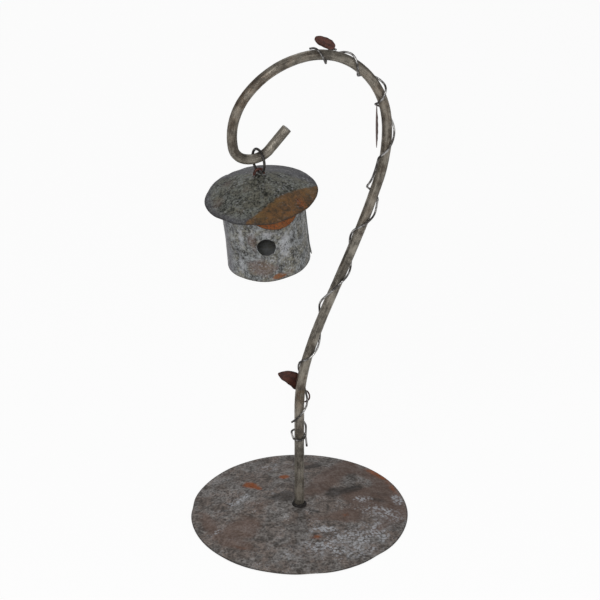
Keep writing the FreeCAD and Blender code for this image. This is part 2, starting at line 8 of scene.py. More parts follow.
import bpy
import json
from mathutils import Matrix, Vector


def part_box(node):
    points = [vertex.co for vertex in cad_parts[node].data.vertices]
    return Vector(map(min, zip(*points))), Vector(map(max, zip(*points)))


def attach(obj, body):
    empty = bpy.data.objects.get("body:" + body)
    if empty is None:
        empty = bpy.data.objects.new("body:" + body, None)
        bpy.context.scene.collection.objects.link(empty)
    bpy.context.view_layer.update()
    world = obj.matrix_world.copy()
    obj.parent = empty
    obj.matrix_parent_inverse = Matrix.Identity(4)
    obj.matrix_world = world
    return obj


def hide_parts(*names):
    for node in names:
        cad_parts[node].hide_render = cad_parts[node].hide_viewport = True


bl_info = {
    "name": "Birdhouse on a crook",
    "version": (1, 0, 0),
    "blender": (4, 5, 0),
    "location": "3D View > Sidebar > Birdhouse",
    "description": "Weathered tin birdhouse on a crook with a wire vine and tin leaves",
    "category": "Object",
}

import json
import math

import bmesh
import bpy
import numpy as np
from bpy.props import FloatProperty, FloatVectorProperty, PointerProperty
from mathutils import Matrix, Vector

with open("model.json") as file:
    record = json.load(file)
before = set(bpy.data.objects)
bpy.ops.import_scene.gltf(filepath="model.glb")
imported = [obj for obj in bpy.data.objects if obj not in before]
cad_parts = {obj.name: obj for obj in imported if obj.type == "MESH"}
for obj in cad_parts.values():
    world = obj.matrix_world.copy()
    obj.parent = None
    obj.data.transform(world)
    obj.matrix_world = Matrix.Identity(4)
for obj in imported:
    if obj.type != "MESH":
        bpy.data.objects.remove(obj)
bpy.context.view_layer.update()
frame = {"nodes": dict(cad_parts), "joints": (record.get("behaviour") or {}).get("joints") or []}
MM = 0.001
TURN = 2.0 * math.pi


def node_top(node):
    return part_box(node)[1].z


# ---------------------------------------------------------------------------------------------
# sizes and colours that a user would change


def length(name, description, value):
    return FloatProperty(name=name, description=description, default=value, unit="LENGTH",
                         subtype="DISTANCE")


def angle(name, description, degrees):
    return FloatProperty(name=name, description=description, default=math.radians(degrees), unit="ROTATION",
                         subtype="ANGLE")


def level(name, description, value):
    return FloatProperty(name=name, description=description, default=value)


def colour(name, description, value):
    return FloatVectorProperty(name=name, description=description, default=value, size=3, subtype="COLOR",
                               min=0.0, max=1.0)


class StandSizes(bpy.types.PropertyGroup):
    disc_radius: length("Disc radius", "Middle to edge of the disc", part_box("base_disc")[1].x)
    disc_top: length("Disc top", "Height of the disc's crown", node_top("base_disc"))
    disc_sheet: length("Disc sheet", "Thickness of the disc's sheet", 1.0 * MM)
    disc_land: length("Disc land", "Radius of the flat round the bar", 9.0 * MM)
    disc_band: length("Disc band", "Width of the flat band at the edge", 4.0 * MM)
    disc_dent: length("Disc dents", "Height of the disc's broad dents", 0.45 * MM)
    bar_radius: length("Bar radius", "Radius of the crook's bar", 4.0 * MM)
    bar_foot: length("Bar foot", "Height of the bar's lower end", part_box("crook_rod")[0].z)
    weld_radius: length("Weld radius", "Toe of the weld round the bar", 6.5 * MM)
    weld_height: length("Weld height", "Weld's height over the disc", 3.2 * MM)
    leaf_sheet: length("Leaf sheet", "Thickness of the leaves", 0.5 * MM)


class HouseSizes(bpy.types.PropertyGroup):
    lean: angle("Lean", "Lean of the hanging birdhouse", 7.67)
    lean_heading: angle("Lean heading", "Direction in which its top leans, from +X", 203.7)
    eye_across: length("Eye across", "Eye's offset from the roof's axis along X", 0.5 * MM)
    eye_back: length("Eye back", "Eye's offset from the roof's axis along Y", 1.0 * MM)
    eye_height: length("Eye height", "Height of the ring's wire over the roof's rim", 19.4 * MM)
    eye_radius: length("Eye radius", "Middle of the eye to the middle of each leg", 3.6 * MM)
    roof_radius: length("Roof radius", "Roof's rim", 43.7 * MM)
    roof_height: length("Roof height", "Apex over the rim", 17.5 * MM)
    tin: length("Tin", "Thickness of the tin", 0.6 * MM)
    wall_radius: length("Wall radius", "Outside of the wall", 31.6 * MM)
    wall_drop: length("Wall drop", "Lower edge of the wall under the roof's rim", 59.0 * MM)
    wall_rise: length("Wall rise", "Upper edge of the wall over the roof's rim", 3.8 * MM)
    hole_radius: length("Hole radius", "Entrance hole", 7.15 * MM)
    hole_drop: length("Hole drop", "Middle of the entrance hole under the roof's rim", 28.4 * MM)
    hole_heading: angle("Hole heading", "Direction of the entrance hole, from +X", 255.2)
    seam_heading: angle("Seam heading", "Free edge of the wall's lap, from +X", -12.0)
    seam_width: angle("Seam width", "Width of the wall's lap", 20.0)
    lip_heading: angle("Lip heading", "Direction of the sheet under the brim, from +X", -90.0)
    lip_radius: length("Lip radius", "Round edge of the sheet under the brim", 19.0 * MM)
    lip_offset: length("Lip offset", "Middle of that edge from the roof's axis", 28.8 * MM)


class TinColours(bpy.types.PropertyGroup):
    disc_dark: colour("Disc dark", "Dark grey of the disc's zinc", (0.075, 0.065, 0.058))
    disc_light: colour("Disc light", "Pale grey of the disc's zinc", (0.3, 0.282, 0.27))
    disc_tint: colour("Disc tint", "Warm grey of the disc", (0.245, 0.198, 0.172))
    roof_tint: colour("Roof tint", "Olive tan of the roof", (0.2, 0.195, 0.155))
    wall_tint: colour("Wall tint", "Olive tan of the wall", (0.24, 0.23, 0.185))
    roof_dark: colour("Roof dark", "Dark olive grey of the roof", (0.02, 0.021, 0.016))
    roof_light: colour("Roof light", "Pale grey-green of the roof", (0.25, 0.262, 0.235))
    wall_dark: colour("Wall dark", "Dark grey of the wall", (0.038, 0.037, 0.033))
    wall_light: colour("Wall light", "Pale blue-grey of the wall", (0.33, 0.345, 0.35))
    bloom: colour("Zinc bloom", "White bloom on the zinc", (0.5, 0.51, 0.54))
    # Slate paints the grey-blue cast of the light on the roof's back slope; it also lies in a band round the
    # roof's rim and in bands down both sides of the wall.
    slate: colour("Slate", "Purple-grey weathering", (0.105, 0.103, 0.125))
    # Brown is also painted as the bar's soft shadow in a wedge on the disc.
    brown: colour("Brown", "Brown staining", (0.15, 0.094, 0.072))
    # This dark colour makes dark grains and patches, and painted shadow: round the bar's foot and in its
    # shadow on the disc, and under the brim on the wall.
    soot_and_shade: colour("Soot and shade", "Dark patches", (0.028, 0.024, 0.022))
    rust_dark: colour("Rust dark", "Dark brown rust", (0.045, 0.03, 0.015))
    rust_light: colour("Rust light", "Orange-brown rust", (0.19, 0.092, 0.03))
    ochre: colour("Ochre", "Yellow-brown of old rust", (0.2, 0.118, 0.036))
    rust_raw: colour("Rust raw", "Fresh orange rust", (0.36, 0.085, 0.014))
    bar_dark: colour("Bar dark", "Dark khaki of the bar", (0.062, 0.053, 0.042))
    bar_light: colour("Bar light", "Worn khaki grey of the bar", (0.31, 0.282, 0.235))
    wire_dark: colour("Vine wire", "Dull grey of the vine", (0.07, 0.064, 0.06))
    # This pale colour paints the vine's highlights, and the bar's bright cut ends.
    wire_highlight_and_cut: colour("Vine highlight", "Rubbed zinc of the vine", (0.5, 0.49, 0.48))
    leaf_dark: colour("Leaf dark", "Dark red-brown of the leaves", (0.04, 0.014, 0.011))
    leaf_light: colour("Leaf light", "Red-brown of the leaves", (0.12, 0.042, 0.028))
    black: colour("Black iron", "Blackened wire of the ring", (0.016, 0.013, 0.012))
    staple: colour("Staple", "Red-brown wire of the eye", (0.13, 0.045, 0.03))
    inner: colour("Inner tin", "Clean tin inside the birdhouse", (0.42, 0.42, 0.44))
    solder: colour("Solder", "Dull solder", (0.24, 0.24, 0.23))


class StageSizes(bpy.types.PropertyGroup):
    camera_place: FloatVectorProperty(
        name="Camera place", description="Camera's place in the frame", size=3, subtype="TRANSLATION",
        unit="LENGTH", default=(-0.4995, -1.6357, 1.1282))
    camera_tilt: angle("Camera tilt", "Camera's turn from straight down", 61.485)
    camera_heading: angle("Camera heading", "Camera's turn about the vertical", -17.0)
    camera_lens: level("Lens", "Focal length in millimetres", 149.29)
    key_power: level("Key light", "Watts of the large light, left in front", 14.0)
    fill_power: level("Fill light", "Watts of the light on the right", 6.0)
    back_power: level("Back light", "Watts of the light above and behind", 9.0)
    front_power: level("Front light", "Watts of the small light in front", 14.0)
    sky: level("Sky", "Strength of the even light all round", 0.2)


# ---------------------------------------------------------------------------------------------
# numbers as whole arrays


def smooth(value, low, high):
    """0 before low, 1 after high, and an S of 3 s^2 - 2 s^3 between."""
    share = np.clip((value - low) / (high - low), 0.0, 1.0)
    return share * share * (3.0 - 2.0 * share)


def hump(value, middle, width):
    """A bell: e to the power of minus the square of the distance from middle over width."""
    return np.exp(-(((value - middle) / width) ** 2))


def waves(points, wavelength, seed, count=8):
    """Smooth random height of about -1 to 1: a sum of sine waves in random directions."""
    random = np.random.default_rng(seed)
    directions = random.normal(size=(count, 3))
    directions /= np.linalg.norm(directions, axis=1, keepdims=True)
    rates = TURN / wavelength * random.uniform(0.7, 1.4, count)
    phases = random.uniform(0.0, TURN, count)
    return np.sin(points @ (directions * rates[:, None]).T + phases).sum(axis=-1) / math.sqrt(count)


def grid(first, second):
    """Two parameters as arrays of one shape, first down the rows and second along the columns."""
    return np.meshgrid(first, second, indexing="ij")


def round_steps(count):
    """Even steps once round, without the last one that would meet the first."""
    return np.linspace(0.0, TURN, count, endpoint=False)


def stack(x, y, z):
    return np.stack(np.broadcast_arrays(x, y, z), axis=-1)


def blot(x, y, marks):
    """Sum of soft ovals: each mark has its middle x and y, half length, half width, turn and weight."""
    total = np.zeros(np.shape(x))
    for middle_x, middle_y, long, wide, degrees, weight in marks:
        turn = math.radians(degrees)
        along = (x - middle_x * MM) * math.cos(turn) + (y - middle_y * MM) * math.sin(turn)
        across = (y - middle_y * MM) * math.cos(turn) - (x - middle_x * MM) * math.sin(turn)
        total += weight * np.exp(-((along / (long * MM)) ** 2 + (across / (wide * MM)) ** 2))
    return np.clip(total, 0.0, 1.0)


def quads(rows, columns, close_rows=False, close_columns=False):
    """Corner numbers of the quads of a grid, whose last row or column may join its first."""
    numbers = np.arange(rows * columns).reshape(rows, columns)
    if close_rows:
        numbers = np.vstack([numbers, numbers[:1]])
    if close_columns:
        numbers = np.hstack([numbers, numbers[:, :1]])
    corners = (numbers[:-1, :-1], numbers[1:, :-1], numbers[1:, 1:], numbers[:-1, 1:])
    return np.stack(corners, axis=-1).reshape(-1, 4)


def join_parts(*parts):
    """One array of points and one of faces out of several pairs of them."""
    offsets = np.cumsum([0] + [len(points) for points, faces in parts])
    points = np.vstack([points for points, faces in parts])
    faces = np.vstack([part[1] + offset for part, offset in zip(parts, offsets)])
    return points, faces


def add_piece(name, points, faces, finish, body, stands_for=(), fields=None, inside=None):
    """Makes a piece of the given points and faces, with its place in its mesh.

    Points at one place are merged, which closes seams and poles. A closed skin is turned to point
    outwards by its volume, and a sheet by pointing away from the place inside.
    """
    mesh = bpy.data.meshes.new(name)
    mesh.from_pydata(points.reshape(-1, 3), [], faces.tolist())
    for key, values in (fields or {}).items():
        flat = np.asarray(values, np.float32)
        vector = flat.shape[-1] == 3 and flat.size == points.size
        layer = mesh.attributes.new(key, "FLOAT_VECTOR" if vector else "FLOAT", "POINT")
        layer.data.foreach_set("vector" if vector else "value", flat.ravel())
    shell = bmesh.new()
    shell.from_mesh(mesh)
    bmesh.ops.remove_doubles(shell, verts=shell.verts, dist=0.002 * MM)
    shell.normal_update()
    if inside is None:
        outward = shell.calc_volume(signed=True)
    else:
        outward = sum((face.calc_center_median() - inside).dot(face.normal) for face in shell.faces)
    if outward < 0.0:
        bmesh.ops.reverse_faces(shell, faces=shell.faces)
    shell.to_mesh(mesh)
    shell.free()
    mesh.shade_smooth()
    mesh.materials.append(finish)
    piece = bpy.data.objects.new(name, mesh)
    bpy.context.scene.collection.objects.link(piece)
    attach(piece, body)
    if stands_for:
        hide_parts(*stands_for)
    return piece


def thicken(piece, thickness, edge):
    """Gives a sheet its thickness inwards and breaks its cut edges."""
    solid = piece.modifiers.new("Thickness", "SOLIDIFY")
    solid.thickness = thickness
    solid.offset = -1.0
    solid.use_even_offset = True
    soften = piece.modifiers.new("Cut edges", "BEVEL")
    soften.width = edge
    soften.segments = 2
    soften.limit_method = "ANGLE"
    soften.angle_limit = math.radians(50.0)
    soften.harden_normals = True


def finish_node(node, finish):
    """Gives a piece of the frame its finish."""
    item = frame["nodes"][node]
    item.data.materials.clear()
    item.data.materials.append(finish)


# ---------------------------------------------------------------------------------------------
# shader nodes


class Shader:
    """Adds nodes to one tree. An input may be given a number, a colour or another node's socket."""

    def __init__(self, tree):
        self.tree = tree

    def node(self, kind, inputs=None, **settings):
        item = self.tree.nodes.new(kind)
        for key, value in settings.items():
            setattr(item, key, value)
        for key, value in (inputs or {}).items():
            if isinstance(value, bpy.types.NodeSocket):
                self.tree.links.new(value, item.inputs[key])
            elif hasattr(value, "__len__") and len(value) == 3 and item.inputs[key].type == "RGBA":
                item.inputs[key].default_value = (*value, 1.0)
            else:
                item.inputs[key].default_value = value
        return item

    def place(self):
        return self.node("ShaderNodeTexCoord").outputs["Object"]

    def field(self, name):
        return self.node("ShaderNodeAttribute", attribute_name=name).outputs["Fac"]

    def vector_field(self, name):
        return self.node("ShaderNodeAttribute", attribute_name=name).outputs["Vector"]

    def stretched(self, vector, scale):
        return self.node("ShaderNodeMapping", {"Vector": vector, "Scale": scale}).outputs["Vector"]

    def noise(self, vector, scale, detail=4.0, roughness=0.55, distortion=0.0):
        inputs = {"Vector": vector, "Scale": scale, "Detail": detail, "Roughness": roughness,
                  "Distortion": distortion}
        return self.node("ShaderNodeTexNoise", inputs).outputs[0]

    def cells(self, vector, scale):
        return self.node("ShaderNodeTexVoronoi", {"Vector": vector, "Scale": scale}).outputs["Distance"]

    def math(self, operation, first, second=0.0):
        return self.node("ShaderNodeMath", {0: first, 1: second}, operation=operation).outputs[0]

    def ramp(self, value, low, high, start=0.0, end=1.0):
        inputs = {"Value": value, "From Min": low, "From Max": high, "To Min": start, "To Max": end}
        return self.node("ShaderNodeMapRange", inputs, interpolation_type="SMOOTHSTEP").outputs["Result"]

    def mix(self, share, first, second):
        return self.node("ShaderNodeMix", {0: share, 6: first, 7: second}, data_type="RGBA").outputs[2]

    def group(self, name, inputs):
        item = self.node("ShaderNodeGroup", node_tree=bpy.data.node_groups[name])
        for key, value in inputs.items():
            if isinstance(value, bpy.types.NodeSocket):
                self.tree.links.new(value, item.inputs[key])
            elif item.inputs[key].type == "RGBA":
                item.inputs[key].default_value = (*value, 1.0)
            else:
                item.inputs[key].default_value = value
        return item.outputs

    def over(self, under, colour, mask, weight):
        """Lays a colour over another inside a mask, at a share of full strength."""
        return self.mix(self.math("MULTIPLY", mask, weight), under, colour)

    def zinc(self, vector, scale, dark, light, tint, contrast):
        """Mottled zinc: its Color, and its Height for the bump."""
        inputs = {"Vector": vector, "Scale": scale, "Dark": dark, "Light": light, "Tint": tint,
                  "Contrast": contrast}
        return self.group("Zinc mottle", inputs)

    def rust(self, vector, scale, tones, fresh):
        """Rust in three tones, dark, light and raw: its Color, and its Height for the bump."""
        dark, light, raw = tones
        inputs = {"Vector": vector, "Scale": scale, "Dark": dark, "Light": light, "Raw": raw, "Fresh": fresh}
        return self.group("Rust", inputs)

    def patch(self, vector, field, scale, spread, softness):
        """Mask of a field with a torn edge."""
        inputs = {"Vector": vector, "Field": field, "Scale": scale, "Spread": spread, "Softness": softness}
        return self.group("Ragged patch", inputs)["Mask"]

    def specks(self, vector, amount, scale):
        """Mask of small grains in swarms."""
        return self.group("Specks", {"Vector": vector, "Amount": amount, "Scale": scale})["Mask"]

    def surface(self, base, roughness, metallic, height, depth, specular=0.5):
        """Ends the tree in one metal surface with its bump, whose depth is in metres."""
        bump = self.node("ShaderNodeBump", {"Height": height, "Distance": depth, "Strength": 1.0})
        inputs = {"Base Color": base, "Roughness": roughness, "Metallic": metallic,
                  "Normal": bump.outputs["Normal"], "Specular IOR Level": specular}
        body = self.node("ShaderNodeBsdfPrincipled", inputs)
        self.node("ShaderNodeOutputMaterial", {"Surface": body.outputs["BSDF"]})


def shader_group(name, inputs, outputs):
    """A node group with named sockets. Returns its shader and the sockets of its input node."""
    tree = bpy.data.node_groups.new(name, "ShaderNodeTree")
    for key, (kind, value) in inputs.items():
        socket = tree.interface.new_socket(key, in_out="INPUT", socket_type="NodeSocket" + kind)
        if value is not None:
            socket.default_value = value
    for key, kind in outputs.items():
        tree.interface.new_socket(key, in_out="OUTPUT", socket_type="NodeSocket" + kind)
    shader = Shader(tree)
    return shader, shader.node("NodeGroupInput").outputs


def build_mottle():
    """Clouds, spangle and grain of old zinc, from a dark colour to a light one."""
    inputs = {"Vector": ("Vector", None), "Scale": ("Float", 60.0), "Dark": ("Color", None),
              "Light": ("Color", None), "Tint": ("Color", None), "Contrast": ("Float", 0.25)}
    shader, given = shader_group("Zinc mottle", inputs, {"Color": "Color", "Height": "Float"})
    clouds = shader.noise(given["Vector"], given["Scale"], 6.0, 0.62, 0.6)
    blotches = shader.noise(given["Vector"], shader.math("MULTIPLY", given["Scale"], 3.2), 4.0, 0.7, 0.8)
    spangle = shader.cells(given["Vector"], shader.math("MULTIPLY", given["Scale"], 4.5))
    total = shader.math("ADD", clouds, shader.math("MULTIPLY", blotches, 0.95))
    total = shader.math("ADD", total, shader.math("MULTIPLY", spangle, 0.4))
    low = shader.math("SUBTRACT", 1.17, given["Contrast"])
    high = shader.math("ADD", 1.17, given["Contrast"])
    share = shader.ramp(total, low, high)
    wide = shader.noise(given["Vector"], shader.math("MULTIPLY", given["Scale"], 0.6), 5.0, 0.65, 0.5)
    light = shader.mix(shader.ramp(wide, 0.42, 0.58), given["Light"], given["Tint"])
    shade = shader.mix(share, given["Dark"], light)
    shader.node("NodeGroupOutput", {"Color": shade, "Height": share})


def build_ragged():
    """Turns a soft field into a patch with a ragged edge."""
    inputs = {"Vector": ("Vector", None), "Field": ("Float", 0.0), "Scale": ("Float", 120.0),
              "Spread": ("Float", 1.1), "Softness": ("Float", 0.12)}
    shader, given = shader_group("Ragged patch", inputs, {"Mask": "Float"})
    tear = shader.noise(given["Vector"], given["Scale"], 6.0, 0.68, 0.4)
    swing = shader.math("MULTIPLY", shader.math("SUBTRACT", tear, 0.5), given["Spread"])
    total = shader.math("ADD", given["Field"], swing)
    low = shader.math("SUBTRACT", 0.5, given["Softness"])
    high = shader.math("ADD", 0.5, given["Softness"])
    patch = shader.ramp(total, low, high)
    shader.node("NodeGroupOutput", {"Mask": patch})


def build_specks():
    """White or dark grains, thicker where the amount is higher."""
    inputs = {"Vector": ("Vector", None), "Amount": ("Float", 0.3), "Scale": ("Float", 700.0)}
    shader, given = shader_group("Specks", inputs, {"Mask": "Float"})
    cells = shader.cells(given["Vector"], given["Scale"])
    swarm = shader.noise(given["Vector"], shader.math("MULTIPLY", given["Scale"], 0.16), 5.0, 0.7, 0.5)
    reach = shader.math("MULTIPLY", given["Amount"], 0.62)
    close = shader.ramp(shader.math("SUBTRACT", reach, cells), -0.08, 0.16)
    plenty = shader.math("MULTIPLY", given["Amount"], 0.3)
    thick = shader.ramp(shader.math("ADD", swarm, plenty), 0.66, 0.86)
    shader.node("NodeGroupOutput", {"Mask": shader.math("MULTIPLY", close, thick)})


def build_rust():
    """Colour and height of rust, from dark brown through orange-brown to raw orange."""
    inputs = {"Vector": ("Vector", None), "Scale": ("Float", 150.0), "Dark": ("Color", None),
              "Light": ("Color", None), "Raw": ("Color", None), "Fresh": ("Float", 0.4)}
    shader, given = shader_group("Rust", inputs, {"Color": "Color", "Height": "Float"})
    clouds = shader.noise(given["Vector"], given["Scale"], 6.0, 0.65, 0.8)
    grain = shader.noise(given["Vector"], shader.math("MULTIPLY", given["Scale"], 5.0), 3.0, 0.7)
    share = shader.ramp(shader.math("ADD", clouds, shader.math("MULTIPLY", grain, 0.35)), 0.5, 0.82)
    base = shader.mix(share, given["Dark"], given["Light"])
    raw = shader.ramp(shader.math("ADD", grain, given["Fresh"]), 0.75, 1.15)
    shade = shader.mix(raw, base, given["Raw"])
    shader.node("NodeGroupOutput", {"Color": shade, "Height": share})


# ---------------------------------------------------------------------------------------------
# finishes


def new_finish(name):
    material = bpy.data.materials.new(name)
    material.use_nodes = True
    material.node_tree.nodes.clear()
    return material, Shader(material.node_tree)


def rust_tones(tints):
    """Dark, light and raw rust."""
    return tints.rust_dark, tints.rust_light, tints.rust_raw


def disc_tin(tints):
    """Grey zinc with brown staining, white grainy bloom, dark patches and orange rust spots. Some of the
    brown and dark patches are painted shadow of the bar, round its foot and in a wedge to the far right rim.
    """
    material, shader = new_finish("Disc tin")
    place = shader.place()
    zinc = shader.zinc(place, 95.0, tints.disc_dark, tints.disc_light, tints.disc_tint, 0.33)
    rust = shader.rust(place, 260.0, rust_tones(tints), 0.5)
    patches = {}
    for key, scale, spread, softness in (("brown_patch", 80.0, 1.0, 0.24), ("soot_and_shade", 110.0, 1.0, 0.22),
                                         ("spots", 260.0, 1.0, 0.3), ("bloom", 170.0, 1.5, 0.25)):
        patches[key] = shader.patch(place, shader.field(key), scale, spread, softness)
    grain = shader.specks(place, 0.66, 620.0)
    salt = shader.specks(place, 0.9, 440.0)
    pepper = shader.specks(place, 0.74, 560.0)
    shade = shader.over(zinc["Color"], tints.soot_and_shade, pepper, 0.5)
    shade = shader.over(shade, tints.bloom, grain, 0.45)
    # Brown patches; the long one from the bar's foot to the far right rim is painted shadow of the bar.
    shade = shader.over(shade, tints.brown, patches["brown_patch"], 0.68)
    white = shader.math("MULTIPLY", patches["bloom"], shader.math("ADD", salt, 0.06))
    shade = shader.mix(shader.math("MINIMUM", white, 0.85), shade, tints.bloom)
    # Dark patches, and painted shadow of the bar round its foot and along that wedge, and a dark ring along
    # the edge.
    shade = shader.over(shade, tints.soot_and_shade, patches["soot_and_shade"], 0.7)
    shade = shader.over(shade, rust["Color"], patches["spots"], 0.95)
    roughness = shader.ramp(zinc["Height"], 0.0, 1.0, 0.66, 0.5)
    height = shader.math("ADD", zinc["Height"], shader.math("MULTIPLY", white, 0.8))
    shader.surface(shade, roughness, 0.35, height, 0.18 * MM, 0.4)
    return material


def roof_tin(tints):
    """Grey-green zinc with pale flecks and tan spots, slate over the back slope as a painted grey-blue cast
    of light, a slate band round the rim, rust over the front lip.
    """
    material, shader = new_finish("Roof tin")
    place = shader.place()
    zinc = shader.zinc(place, 130.0, tints.roof_dark, tints.roof_light, tints.roof_tint, 0.25)
    fresh = shader.ramp(shader.field("fresh"), 0.0, 1.0, 0.02, 0.42)
    rust = shader.rust(place, 190.0, rust_tones(tints), fresh)
    edge = shader.patch(place, shader.field("rust"), 150.0, 1.3, 0.3)
    slate = shader.patch(place, shader.field("slate"), 90.0, 0.9, 0.35)
    tan = shader.patch(place, shader.field("tan"), 160.0, 1.0, 0.3)
    flecks = shader.specks(place, 0.7, 520.0)
    pits = shader.specks(place, 0.72, 600.0)
    run = shader.ramp(shader.noise(shader.stretched(shader.vector_field("unrolled"), (1.0, 0.14, 1.0)),
                                   230.0, 5.0, 0.65), 0.52, 0.68)
    shade = shader.over(zinc["Color"], tints.roof_light, run, 0.4)
    # Slate on the back slope paints the grey-blue cast of the light there; near the rim it is a band all
    # round.
    shade = shader.over(shade, tints.slate, slate, 0.7)
    shade = shader.over(shade, tints.brown, tan, 0.4)
    shade = shader.over(shade, tints.bloom, flecks, 0.45)
    shade = shader.over(shade, tints.soot_and_shade, pits, 0.55)
    rusted = shader.over(rust["Color"], tints.ochre, shader.field("ochre"), 0.6)
    rusted = shader.over(rusted, tints.soot_and_shade, pits, 0.45)
    rusted = shader.over(rusted, tints.bloom, flecks, 0.12)
    shade = shader.mix(edge, shade, rusted)
    shade = shader.over(shade, tints.soot_and_shade, shader.field("rim"), 0.7)
    metal = shader.ramp(edge, 0.0, 1.0, 0.38, 0.08)
    height = shader.math("ADD", zinc["Height"], shader.math("MULTIPLY", rust["Height"], edge))
    shader.surface(shade, shader.ramp(edge, 0.0, 1.0, 0.55, 0.62), metal, height, 0.16 * MM, 0.45)
    return material


def lip_tin(tints):
    """Raw orange rust of the sheet under the brim, darker at its edge."""
    material, shader = new_finish("Lip tin")
    place = shader.place()
    rust = shader.rust(place, 190.0, rust_tones(tints), 0.42)
    shade = shader.over(rust["Color"], tints.rust_dark, shader.field("rim"), 0.7)
    shader.surface(shade, 0.6, 0.05, rust["Height"], 0.15 * MM, 0.4)
    return material


def wall_tin(tints):
    """Pale blue-grey zinc with streaks down the wall, white bloom, brown low down, a rust spot."""
    material, shader = new_finish("Wall tin")
    place = shader.place()
    unrolled = shader.vector_field("unrolled")
    zinc = shader.zinc(place, 140.0, tints.wall_dark, tints.wall_light, tints.wall_tint, 0.26)
    rust = shader.rust(place, 300.0, rust_tones(tints), 0.4)
    streak = shader.noise(shader.stretched(unrolled, (1.0, 0.16, 1.0)), 330.0, 5.0, 0.65)
    run = shader.ramp(streak, 0.5, 0.68)
    masks = {}
    for key, scale, spread in (("bloom", 230.0, 1.5), ("brown_patch", 130.0, 1.2), ("spots", 300.0, 1.0),
                               ("soot_and_shade", 220.0, 1.3), ("slate", 90.0, 0.8)):
        masks[key] = shader.patch(place, shader.field(key), scale, spread, 0.28)
    flecks = shader.specks(place, 0.74, 520.0)
    pits = shader.specks(place, 0.76, 600.0)
    shade = shader.over(zinc["Color"], tints.wall_light, run, 0.4)
    shade = shader.over(shade, tints.slate, masks["slate"], 0.7)
    shade = shader.over(shade, tints.brown, masks["brown_patch"], 0.6)
    shade = shader.over(shade, tints.bloom, masks["bloom"], 0.55)
    shade = shader.over(shade, tints.bloom, flecks, 0.4)
    shade = shader.over(shade, tints.soot_and_shade, pits, 0.6)
    # Dark patches, and the brim's painted shadow across the front just under the roof.
    shade = shader.over(shade, tints.soot_and_shade, masks["soot_and_shade"], 0.7)
    shade = shader.over(shade, rust["Color"], masks["spots"], 0.85)
    shade = shader.over(shade, tints.rust_dark, shader.field("rim"), 0.8)
    height = shader.math("ADD", zinc["Height"], shader.math("MULTIPLY", flecks, 0.5))
    shader.surface(shade, shader.ramp(zinc["Height"], 0.0, 1.0, 0.6, 0.45), 0.4, height, 0.14 * MM, 0.45)
    return material


def inner_tin(tints):
    """Cleaner tin inside the birdhouse, with brown stains."""
    material, shader = new_finish("Inner tin")
    place = shader.place()
    zinc = shader.zinc(place, 110.0, tints.wall_light, tints.inner, tints.wall_tint, 0.4)
    brown = shader.patch(place, 0.2, 70.0, 1.1, 0.12)
    shade = shader.over(zinc["Color"], tints.brown, brown, 0.5)
    shader.surface(shade, 0.6, 0.1, zinc["Height"], 0.12 * MM)
    return material


def bar_steel(tints):
    """Khaki-grey bar with streaks drawn along it, rubbed light, with brown rust in places."""
    material, shader = new_finish("Bar steel")
    drawn = shader.vector_field("drawn")
    place = shader.place()
    streaks = shader.noise(shader.stretched(drawn, (0.1, 1.0, 1.0)), 520.0, 5.0, 0.65)
    clouds = shader.noise(drawn, 95.0, 6.0, 0.65)
    grain = shader.noise(place, 1500.0, 3.0, 0.7)
    total = shader.math("ADD", shader.math("MULTIPLY", streaks, 0.7), clouds)
    total = shader.math("ADD", total, shader.math("MULTIPLY", grain, 0.45))
    share = shader.ramp(total, 0.86, 1.28)
    rust = shader.rust(place, 320.0, rust_tones(tints), 0.1)
    rusted = shader.patch(drawn, shader.field("rust"), 120.0, 1.1, 0.3)
    pits = shader.specks(place, 0.6, 800.0)
    shade = shader.mix(share, tints.bar_dark, tints.bar_light)
    shade = shader.over(shade, rust["Color"], rusted, 0.35)
    shade = shader.over(shade, tints.soot_and_shade, pits, 0.6)
    shade = shader.over(shade, tints.wire_highlight_and_cut, shader.field("cut"), 0.3)
    height = shader.math("SUBTRACT", share, shader.math("MULTIPLY", pits, 0.7))
    shader.surface(shade, shader.ramp(share, 0.0, 1.0, 0.6, 0.42), 0.5, height, 0.12 * MM, 0.5)
    return material


def vine_wire(tints):
    """Dull grey wire with pale patches along its runs: painted highlights in the colour of rubbed zinc."""
    material, shader = new_finish("Vine wire")
    place = shader.place()
    # Pale, less rough patches: painted highlights of the wire.
    painted_highlight = shader.ramp(shader.noise(place, 120.0, 5.0, 0.65), 0.46, 0.58)
    grain = shader.noise(place, 1300.0, 3.0, 0.7)
    shade = shader.mix(shader.math("MULTIPLY", painted_highlight, 0.75), tints.wire_dark, tints.wire_highlight_and_cut)
    shade = shader.mix(shader.ramp(grain, 0.5, 0.75, 0.0, 0.4), shade, tints.soot_and_shade)
    shader.surface(shade, shader.ramp(painted_highlight, 0.0, 1.0, 0.4, 0.3), 0.75, grain, 0.04 * MM)
    return material


def iron_wire(name, dark, light, scale, gloss):
    """Blackened or rusted iron wire."""
    material, shader = new_finish(name)
    place = shader.place()
    clouds = shader.noise(place, scale, 6.0, 0.7)
    grain = shader.noise(place, scale * 6.0, 3.0, 0.7)
    share = shader.ramp(shader.math("ADD", clouds, shader.math("MULTIPLY", grain, 0.5)), 0.6, 0.92)
    shade = shader.mix(share, dark, light)
    shader.surface(shade, shader.ramp(share, 0.0, 1.0, gloss, gloss + 0.2), 0.45, grain, 0.08 * MM)
    return material


